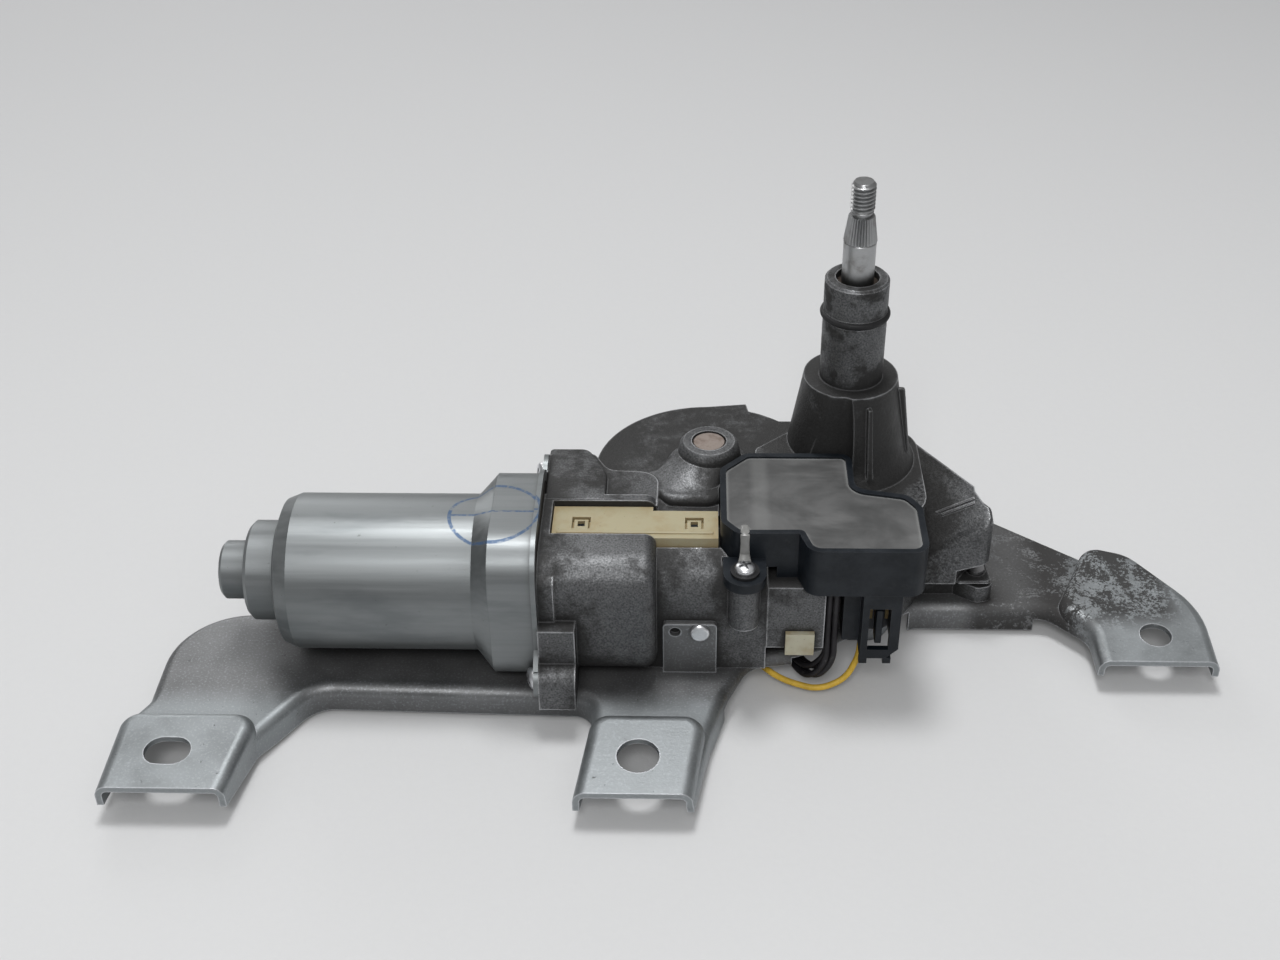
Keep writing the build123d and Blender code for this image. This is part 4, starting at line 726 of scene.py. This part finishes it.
# %% Rules for the spindle's radius
PITCH = 1.0 * MM
THREAD_DEPTH = 0.58 * MM
FLANK_RISE = 2.9
ROOT_FLAT = 0.22
LEAD_IN = 0.8 * PITCH
LEAD_OUT = 0.6 * PITCH
END_CHAMFER = 0.25 * MM
STUD_R = 3.0 * MM
CONE_R = (4.15 * MM, 3.2 * MM)
SERRATION_DEPTH = 0.38 * MM
SERRATIONS = 30
SMOOTH_TOP = 38.2 * MM
CONE_TOP = 44.9 * MM
NECK_TOP = 45.9 * MM
THREAD_TOP = 53.2 * MM


def thread_radius(z, angle):
    """Radius of the thread at a height and an angle: a flat crest, a flank, a root, a flank."""
    phase = (z / PITCH - angle / (2 * math.pi)) % 1.0
    rise = min(1.0, max(0.0, FLANK_RISE * abs(phase - 0.5) - ROOT_FLAT))
    full = min(1.0, (z - NECK_TOP) / LEAD_IN, (THREAD_TOP + 0.2 * MM - z) / LEAD_OUT)
    full = max(0.0, full)
    return STUD_R - THREAD_DEPTH * (1 - rise) * full - END_CHAMFER * (1 - full)


def cone_radius(z, angle):
    """Radius of the serrated cone: sharp ridges that run up it."""
    share = (z - SMOOTH_TOP) / (CONE_TOP - SMOOTH_TOP)
    mean = CONE_R[0] + (CONE_R[1] - CONE_R[0]) * share
    wave = abs((angle / (2 * math.pi) * SERRATIONS) % 1.0 - 0.5) * 2
    return mean - SERRATION_DEPTH * wave


print("cone radius at its foot in mm:", round(cone_radius(SMOOTH_TOP, 0.0) / MM, 2))

# %% [markdown]
# ## Stacking the spindle
# Now the rings go up in order: the stub in the pinion, the journal, the cone, the neck and the
# thread. The plain lengths need a ring only where the radius changes. The cone and the thread
# need many, because the thread's flank has to be met several times in each millimetre.

# %% The spindle's skin
SIDES = 120
CONE_STEPS = 8
THREAD_STEPS = 110
STUB_R = 3.0 * MM
JOURNAL_R = 4.0 * MM
NECK_R = 2.45 * MM
TIP_R = 2.3 * MM
PINION_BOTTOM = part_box("pinion")[0].z
SPINDLE_BOTTOM, SPINDLE_TOP = (corner.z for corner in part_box("output_shaft"))

rings = [ring(radius, z, SIDES) for radius, z in (
    (STUB_R - 0.4 * MM, SPINDLE_BOTTOM), (STUB_R, SPINDLE_BOTTOM + 0.4 * MM), (STUB_R, PINION_BOTTOM),
    (JOURNAL_R, PINION_BOTTOM), (JOURNAL_R, 0.026), (JOURNAL_R, 0.0365), (JOURNAL_R, SMOOTH_TOP - 0.3 * MM),
    (JOURNAL_R - 0.15 * MM, SMOOTH_TOP - 0.05 * MM))]
for step in range(CONE_STEPS + 1):
    rings.append(ring(cone_radius, SMOOTH_TOP + (CONE_TOP - SMOOTH_TOP) * step / CONE_STEPS, SIDES))
rings.append(ring(NECK_R, CONE_TOP + 0.15 * MM, SIDES))
for step in range(THREAD_STEPS + 1):
    rings.append(ring(thread_radius, NECK_TOP + (THREAD_TOP - NECK_TOP) * step / THREAD_STEPS, SIDES))
rings.append(ring(TIP_R, SPINDLE_TOP, SIDES))

spindle = crisp(skin("wiper_spindle", rings, FINISHES["shaft_steel"]), 28.0)
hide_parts("output_shaft")
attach(spindle, "output")
print("spindle faces:", len(spindle.data.polygons))

# %% [markdown]
# ## Prisms, unions and cuts
# A casting is a body with webs, pockets and ribs. Each can be a prism with rounded corners,
# and its top may follow a sloping plane. Boolean modifiers then join and cut them, and the
# evaluated mesh is kept, so that nothing is left live. The exact solver copes with a real
# CAD mesh, once its loose triangles are merged.

# %% Prisms
ARC_STEPS = 6


def rectangle(left, front, right, back, radius=0.0):
    """Corners of a rectangle for `rounded`."""
    return [(left, front, radius), (right, front, radius), (right, back, radius), (left, back, radius)]


def rounded(corners):
    """Points of a polygon whose corners are arcs, from (x, y, radius) in millimetres."""
    points = []
    for index, (x, y, radius) in enumerate(corners):
        if radius == 0:
            points.append((x, y))
            continue
        here = Vector((x, y))
        before = (Vector(corners[index - 1][:2]) - here).normalized()
        after = (Vector(corners[(index + 1) % len(corners)][:2]) - here).normalized()
        half = before.angle(after) / 2
        centre = here + (before + after).normalized() * radius / math.sin(half)
        start = here + before * radius / math.tan(half) - centre
        end = here + after * radius / math.tan(half) - centre
        sweep = start.angle_signed(end)
        for step in range(ARC_STEPS + 1):
            turned = -sweep * step / ARC_STEPS
            points.append((centre.x + start.x * math.cos(turned) - start.y * math.sin(turned),
                           centre.y + start.x * math.sin(turned) + start.y * math.cos(turned)))
    return points


def at(level, x, y):
    """A height that may be a number or a rule of x and y."""
    return level(x, y) if callable(level) else level


def prism(name, corners, bottom, top, material, bevel=0.0):
    """Closed prism on a rounded polygon, with its top edges softened if asked."""
    outline = rounded(corners)
    count = len(outline)
    points = [(x * MM, y * MM, at(bottom, x, y) * MM) for x, y in outline]
    points += [(x * MM, y * MM, at(top, x, y) * MM) for x, y in outline]
    faces = [tuple(reversed(range(count))), tuple(range(count, 2 * count))]
    faces += [(side, (side + 1) % count, count + (side + 1) % count, count + side) for side in range(count)]
    piece = mesh_piece(name, points, faces, material, smooth=False)
    with editing(piece) as work:
        bmesh.ops.recalc_face_normals(work, faces=work.faces)
        if bevel:
            middle = sum(point[2] for point in points) / len(points)
            lids = {face for face in work.faces
                    if len(face.verts) == count and face.calc_center_median().z > middle}
            rim = [edge for edge in work.edges if not lids.isdisjoint(edge.link_faces)]
            bmesh.ops.bevel(work, geom=rim, offset=bevel * MM, segments=3, affect="EDGES", profile=0.5)
    return piece


print("points of a rounded square:", len(rounded(rectangle(0, 0, 1, 1, 0.2))))

# %% [markdown]
# ## Joining and cutting
# A Boolean modifier is live: it would be worked out again each time the scene is drawn. So
# each piece takes the evaluated mesh in the place of its own, and the tools are removed.

# %% Booleans


def settled(piece):
    """Turns a piece's live modifiers into plain mesh."""
    graph = bpy.context.evaluated_depsgraph_get()
    mesh = bpy.data.meshes.new_from_object(piece.evaluated_get(graph))
    piece.modifiers.clear()
    piece.data = mesh
    return piece


def combine(piece, *steps):
    """Joins and cuts a piece with others in turn; the others are used up."""
    for operation, other in steps:
        change = piece.modifiers.new(operation.lower(), "BOOLEAN")
        change.operation = operation
        change.solver = "EXACT"
        change.object = other
    settled(piece)
    for _, other in steps:
        bpy.data.objects.remove(other)
    return piece


def merged_copy(node, name):
    """Copy of a CAD node's mesh with its triangles joined up."""
    piece = frame["nodes"][node].copy()
    piece.data = piece.data.copy()
    piece.name = name
    piece.parent = None
    for key in list(piece.keys()):
        del piece[key]
    bpy.context.scene.collection.objects.link(piece)
    with editing(piece) as work:
        bmesh.ops.remove_doubles(work, verts=work.verts, dist=1e-6)
    return piece


housing = merged_copy("gear_housing", "dressed_housing")
print("housing triangles:", len(housing.data.polygons))

# %% [markdown]
# ## The web and its nose
# The housing's solid has the drum, the tower and the mouth. This piece stands for it and adds
# what a foundry would. On its right a web rises from the sheet to a rounded nose under the
# cover, and its top slopes up to the drum. Two cuts trim the solid's plain web first, and a
# prism with a sloping lid and a wide bevel is the nose.

# %% Web and nose
SHEET_TOP = -51.0
NOSE = (34.2, -19.0, -31.9)
NOSE_SLOPE = (0.69, 0.42)


def nose_height(x, y):
    """Height of the web's sloping top."""
    return NOSE[2] + NOSE_SLOPE[0] * (x - NOSE[0]) + NOSE_SLOPE[1] * (y - NOSE[1])


spike = prism(
    "spike", [(20.5, 14.7, 0), (37.9, -13.6, 0), (37.9, -12.0, 0), (60, -12, 0), (60, 30, 0)],
    -60, 10, housing_metal)
behind_nose = prism(
    "behind_nose", [(36.9, -20, 0), (50, -20, 0), (50, -8, 0), (33.2, -8, 0), (33.2, -10.4, 0)],
    -60, 10, housing_metal)
nose = prism(
    "nose", [(18.9, -21.9, 0), (37.3, -21.9, 2.5), (37.0, -16.5, 4), (18.9, 12.9, 0)],
    SHEET_TOP, nose_height, housing_metal, bevel=2.4)
print("nose height at its tip:", round(nose_height(37.3, -21.9), 1))

# %% [markdown]
# ## Pocket, lug and parting lines
# A pocket under the nose leaves room for the rivet that holds the casting down, on a thin lug
# with a hole. Two raised lines cross the web where the mould's inserts met. The pocket's roof
# climbs to the right, and the lines follow the web's own slope a little above it, so their
# tops are rules of x and y like the nose's.

# %% Pocket, lug and lines
LINE_PROUD = 0.45


def pocket_roof(x, y):
    """Height of the pocket's roof, which climbs to the right."""
    return -46.6 + 0.3 * (x - 29)


def line_top(x, y):
    """Height of a parting line on the web."""
    return nose_height(x, y) + LINE_PROUD


pocket = prism(
    "pocket", [(27.4, -24, 0), (31.6, -17.4, 1.2), (35.6, -13.4, 1.4), (42, -13.0, 0), (42, -24, 0)],
    SHEET_TOP - 1, pocket_roof, housing_metal)
lug = prism(
    "lug", [(28.6, -21.8, 0.8), (33.0, -14.0, 0.8), (37.6, -13.6, 1.0), (38.0, -21.6, 1.0)],
    SHEET_TOP, SHEET_TOP + 0.9, housing_metal, bevel=0.35)
lug_hole = prism(
    "lug_hole", [(32.2, -19.6, 2.38), (32.2, -14.8, 2.38), (37.0, -14.8, 2.38), (37.0, -19.6, 2.38)],
    SHEET_TOP - 1, SHEET_TOP + 3, housing_metal)
lines = [prism(
    f"line_{number}", [(23.4 + shift, -10.9 - shift, 0), (23.7 + shift, -11.5 - shift, 0),
                       (32.9, -12.9 - shift, 0), (32.8, -12.2 - shift, 0)],
    -45, line_top, housing_metal) for number, shift in enumerate((0.0, 1.3))]
print("pocket, lug and lines:", len(lines) + 3)

# %% [markdown]
# ## Ribs of the tower
# The spindle's tower carries the arm's side load, so the foundry gave it ribs that widen
# towards the gearbox. A rib is a radial plate with eight corners. It is drawn along X, turned
# about the tower, and beveled all round like any cast edge.

# %% Tower ribs
RIB_TOP = -2.6
RIB_FOOT = -27.0
RIB_INSIDE = 9.0
RIB_REACH_TOP = 14.0
RIB_REACH_FOOT = 17.2
RIB_HALF = 0.65
RIB_HALF_FOOT = RIB_HALF * 1.5


def tower_rib(name, angle):
    """Radial rib on the tower, wider at its foot."""
    turn = Matrix.Rotation(math.radians(angle), 4, "Z")
    points = [(RIB_INSIDE, -RIB_HALF, RIB_TOP), (RIB_REACH_TOP, -RIB_HALF, RIB_TOP),
              (RIB_REACH_FOOT, -RIB_HALF_FOOT, RIB_FOOT), (RIB_INSIDE, -RIB_HALF_FOOT, RIB_FOOT)]
    points += [(x, -y, z) for x, y, z in points]
    faces = [(0, 1, 2, 3), (7, 6, 5, 4), (0, 4, 5, 1), (1, 5, 6, 2), (2, 6, 7, 3), (3, 7, 4, 0)]
    turned = [turn @ (Vector(point) * MM) for point in points]
    rib = mesh_piece(name, turned, faces, housing_metal, smooth=False)
    with editing(rib) as work:
        bmesh.ops.recalc_face_normals(work, faces=work.faces)
        bmesh.ops.bevel(work, geom=list(work.edges), offset=0.5 * MM, segments=2, affect="EDGES", profile=0.5)
    return rib


ribs = [tower_rib(f"rib_{angle}", angle) for angle in (-10, -72)]
print("ribs:", len(ribs))

# %% [markdown]
# ## Ramp round the wheel pin's boss
# The gearbox roof swells up to the boss that holds the wheel's pin. The swelling is the
# convex hull of a ring round the boss and a loose outline on the roof, which needs no faces
# drawn by hand. A cylinder takes its core out again, so that it never fills the pin's bore.

# %% The ramp
RAMP_CREST = -18.6
RAMP_CREST_R = 7.2
RAMP_FOOT = -26.5
RAMP_OUTLINE = ((-54.5, -15.5), (-52.5, -25.6), (-37.5, -25.6), (-33.6, -18.0), (-30.0, -5.0),
                (-40.0, -1.0), (-47.0, -6.0))
BOSS_CORE_R = 6.0

pin_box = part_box("wheel_pin")
boss = (pin_box[0] + pin_box[1]) / 2 / MM
crest = [(boss.x + x, boss.y + y, z) for x, y, z in ring(RAMP_CREST_R, RAMP_CREST, 32)]
foot = [(x, y, RAMP_FOOT) for x, y in RAMP_OUTLINE]
ramp = mesh_piece("ramp", [Vector(point) * MM for point in crest + foot], [], housing_metal)
with editing(ramp) as work:
    bmesh.ops.convex_hull(work, input=work.verts)
    inside = [vertex for vertex in work.verts if not vertex.link_faces]
    bmesh.ops.delete(work, geom=inside, context="VERTS")
    bmesh.ops.recalc_face_normals(work, faces=work.faces)
boss_core = mesh_piece("boss_core", [], [], housing_metal)
with editing(boss_core) as work:
    bmesh.ops.create_cone(
        work, cap_ends=True, segments=96, radius1=BOSS_CORE_R * MM, radius2=BOSS_CORE_R * MM, depth=0.03,
        matrix=Matrix.Translation((boss.x * MM, boss.y * MM, -0.030)))
combine(ramp, ("DIFFERENCE", boss_core))
print("ramp faces:", len(ramp.data.polygons))

# %% [markdown]
# ## The block behind the terminal strip
# The ear of the can's screw grows into a block that is level with the ear. The solid's block
# is cut off there and cast anew as a rounded plateau. Its root reaches down the gearbox wall,
# and stands a hair inside the plateau's outline: two faces in one plane would leave the exact
# solver with open edges.

# %% Ear block
EAR_TOP = -20.4
BLOCK_PROUD = 0.1

above_ear = prism(
    "above_ear", [(-79, -27.2, 0), (-79, 2, 0), (-60, 2, 0), (-60, -27.2, 0)], EAR_TOP, 0, housing_metal)
flush_block = prism(
    "flush_block", [(-77.38, -27, 0), (-77.38, -4.6, 1), (-67.5, -4.6, 3), (-64.5, -9.5, 2),
                    (-62, -16, 3), (-62, -27, 0)],
    -22.8, EAR_TOP + BLOCK_PROUD, housing_metal, bevel=0.8)
ear_root = prism(
    "ear_root", [(-77.36, -16.8, 0), (-77.36, -4.8, 1), (-67.5, -4.8, 3), (-64.5, -9.5, 2),
                 (-62.2, -16.8, 0)],
    -38, -22.4, housing_metal)
print("block top at:", round(EAR_TOP + BLOCK_PROUD, 2))

# %% [markdown]
# ## One casting
# The tools go on in the order in which a maker would think of them: trim, add the nose, sink
# the pocket, add the lug and drill it, then level the ear and add the ramp, the lines and the
# ribs. A check counts the open edges, because a casting with a gap has no inside.

# %% Joining the housing
combine(housing, ("DIFFERENCE", spike), ("DIFFERENCE", behind_nose), ("UNION", nose), ("DIFFERENCE", pocket),
        ("UNION", lug), ("DIFFERENCE", lug_hole), ("DIFFERENCE", above_ear), ("UNION", flush_block),
        ("UNION", ear_root), ("UNION", ramp), *(("UNION", detail) for detail in lines + ribs))
crisp(housing)
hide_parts("gear_housing")
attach(housing, "root")
check = bmesh.new()
check.from_mesh(housing.data)
open_edges = sum(not edge.is_manifold for edge in check.edges)
print("housing faces:", len(check.faces), "open edges:", open_edges,
      "volume in cm3:", round(check.calc_volume(signed=True) * 1e6, 2))
check.free()

# %% [markdown]
# ## A screw with a cross recess
# A pan head is a turned dome, and its recess is two slots at right angles. Rings and a
# boolean cut make one screw about Z, with its seat at height 0, so that it can be put
# anywhere by its seat.

# %% The pan screw


def pan_screw(name, radius, height, shank_radius, shank_length):
    """Screw about Z with its head's seat at 0; lengths in millimetres."""
    profile = [(-shank_length, shank_radius - 0.3), (0.3 - shank_length, shank_radius),
               (0, shank_radius), (0, radius)]
    for degrees in range(0, 91, 15):
        climb, shrink = math.sin(math.radians(degrees)), math.cos(math.radians(degrees))
        profile.append((height * (0.35 + 0.65 * climb), radius * (0.12 + 0.88 * shrink)))
    screw = skin(name, [ring(r * MM, z * MM, 48) for z, r in profile], FINISHES["screw_zinc"])
    arm, half = 0.62 * radius, 0.13 * radius
    slots = [prism(f"{name}_slot_{number}", rectangle(-x, -y, x, y), 0.45 * height, 2 * height,
                   FINISHES["screw_zinc"]) for number, (x, y) in enumerate(((arm, half), (half, arm)))]
    return crisp(combine(screw, *(("DIFFERENCE", slot) for slot in slots)))


print("screw helper ready")

# %% [markdown]
# ## One screw, several places
# The can is held by two screws of one kind. A Geometry Nodes tree puts the screw wherever a
# point stands, which is how a drawing would call out the same screw twice. Its last nodes are
# Realize Instances and Set Material, and its result is kept as plain mesh.

# %% Screws on points
CAN_SCREW_SEATS = ((-78.6, -11.0, -23.6), (-78.6, -59.8, -50.8))
RELAY_SCREW_SEAT = (-27.5, -50.5, -23.8)


def placed(name, screw, seats, turn):
    """Copies of a screw at points, through a Geometry Nodes tree."""
    tree = bpy.data.node_groups.new(name, "GeometryNodeTree")
    tree.interface.new_socket("Points", in_out="INPUT", socket_type="NodeSocketGeometry")
    tree.interface.new_socket("Geometry", in_out="OUTPUT", socket_type="NodeSocketGeometry")
    turn_socket = tree.interface.new_socket("Turn", in_out="INPUT", socket_type="NodeSocketVector")
    points = tree.nodes.new("NodeGroupInput")
    source = tree.nodes.new("GeometryNodeObjectInfo")
    copies = tree.nodes.new("GeometryNodeInstanceOnPoints")
    real = tree.nodes.new("GeometryNodeRealizeInstances")
    paint = tree.nodes.new("GeometryNodeSetMaterial")
    result = tree.nodes.new("NodeGroupOutput")
    source.inputs["Object"].default_value = screw
    paint.inputs["Material"].default_value = FINISHES["screw_zinc"]
    for start, end in ((points.outputs["Points"], copies.inputs["Points"]),
                       (points.outputs["Turn"], copies.inputs["Rotation"]),
                       (source.outputs["Geometry"], copies.inputs["Instance"]),
                       (copies.outputs["Instances"], real.inputs["Geometry"]),
                       (real.outputs["Geometry"], paint.inputs["Geometry"]),
                       (paint.outputs["Geometry"], result.inputs["Geometry"])):
        tree.links.new(start, end)
    piece = mesh_piece(name, [Vector(seat) * MM for seat in seats], [], FINISHES["screw_zinc"])
    change = piece.modifiers.new("places", "NODES")
    change.node_group = tree
    change[turn_socket.identifier] = turn
    settled(piece)
    bpy.data.objects.remove(screw)
    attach(piece, "root")
    return piece


can_screw = pan_screw("can_screw", 2.8, 1.8, 1.5, 8.7)
can_screws = placed("cross_can_screws", can_screw, CAN_SCREW_SEATS, (0.35, -math.pi / 2, 0))
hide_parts("can_screws")
relay_screw_body = pan_screw("relay_screw_body", 2.5, 1.7, 1.4, 12.2)
relay_screw = placed("cross_relay_screw", relay_screw_body, (RELAY_SCREW_SEAT,), (0, 0, 0.4))
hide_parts("relay_screw")
print("screw faces:", len(can_screws.data.polygons), len(relay_screw.data.polygons))

# %% [markdown]
# ## Small mouldings
# Two windows of the terminal strip have inner frames round a pit, whose shade is painted as a
# thin black slab, and a bead runs along the strip's front. The plug's shell has a tongue between
# its pins. All are flat moulded shapes, so they are prisms with small radii and softened tops.

# %% Frames, bead and tongue
STRIP_FLOOR = -23.65
WINDOW_LEFTS = (-70.0, -42.0)


def finished(piece):
    """Crisp shading and body for a fixed piece."""
    crisp(piece)
    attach(piece, "root")
    return piece


def moulding(name, corners, bottom, top, slot_name, bevel):
    """Fixed prism in the finish of its slot."""
    return finished(prism(name, corners, bottom, top, FINISHES[slot_name], bevel))


def window_frame(name, left):
    """Frame inside one window, with an opening in its middle."""
    cream = FINISHES["cream_plastic"]
    rim = prism(name, rectangle(left + 0.5, -36.1, left + 4.1, -32.5, 0.2),
                STRIP_FLOOR, -22.55, cream, bevel=0.15)
    opening = prism(name + "_opening", rectangle(left + 1.4, -35.3, left + 3.2, -33.2), -24, -22, cream)
    return finished(combine(rim, ("DIFFERENCE", opening)))


for number, left in enumerate(WINDOW_LEFTS):
    window_frame(f"window_frame_{number}", left)
    # Painted shade: a thin black slab stands for the shade down in each window's pit.
    moulding(f"window_pit_{number}", rectangle(left + 1.45, -35.25, left + 3.15, -33.25, 0.25),
             STRIP_FLOOR, -23.35, "black_plastic", 0.1)
moulding("strip_bead", rectangle(-73.6, -38.7, -35.0, -37.9, 0.3), -22.3, -21.85, "cream_plastic", 0.2)
moulding("plug_tongue", rectangle(4.9, -50.6, 6.5, -46.2, 0.3), -46.5, -36.4, "black_plastic", 0.3)
print("mouldings:", 2 * len(WINDOW_LEFTS) + 2)

# %% [markdown]
# ## The run of resin
# Some resin ran over the relay case's front wall to the screw before it set. It hangs on the
# wall as a flat bead that widens where it pooled. Six oval sections across its path make it:
# each stands square to the path, and `skin` closes them. A curve with a bevel would keep one
# section all the way.

# %% Resin run
RUN_X = -27.5
RUN_HALF_DEPTH = 0.42
RUN = ((-41.6, -17.45, 0.9), (-44.0, -16.95, 1.1), (-45.3, -17.4, 1.15),
       (-45.55, -19.5, 1.05), (-45.9, -22.6, 1.2), (-47.4, -24.0, 1.6))

sideways = Vector((1, 0, 0))
run_rings = []
for index, (y, z, half_width) in enumerate(RUN):
    before, after = RUN[max(0, index - 1)], RUN[min(len(RUN) - 1, index + 1)]
    ahead = Vector((0, after[0] - before[0], after[1] - before[1])).normalized()
    outward = ahead.cross(sideways)
    middle = Vector((RUN_X, y, z)) * MM
    run_rings.append([middle + sideways * half_width * MM * across + outward * RUN_HALF_DEPTH * MM * proud
                      for across, proud, _ in ring(1.0, 0.0, 20)])
run_finish = plastic_finish("resin_run", (0.19, 0.19, 0.185), 0.20, share=0.05)
resin_run = finished(skin("resin_run", run_rings, run_finish))
print("resin run faces:", len(resin_run.data.polygons))

# %% [markdown] ## The end
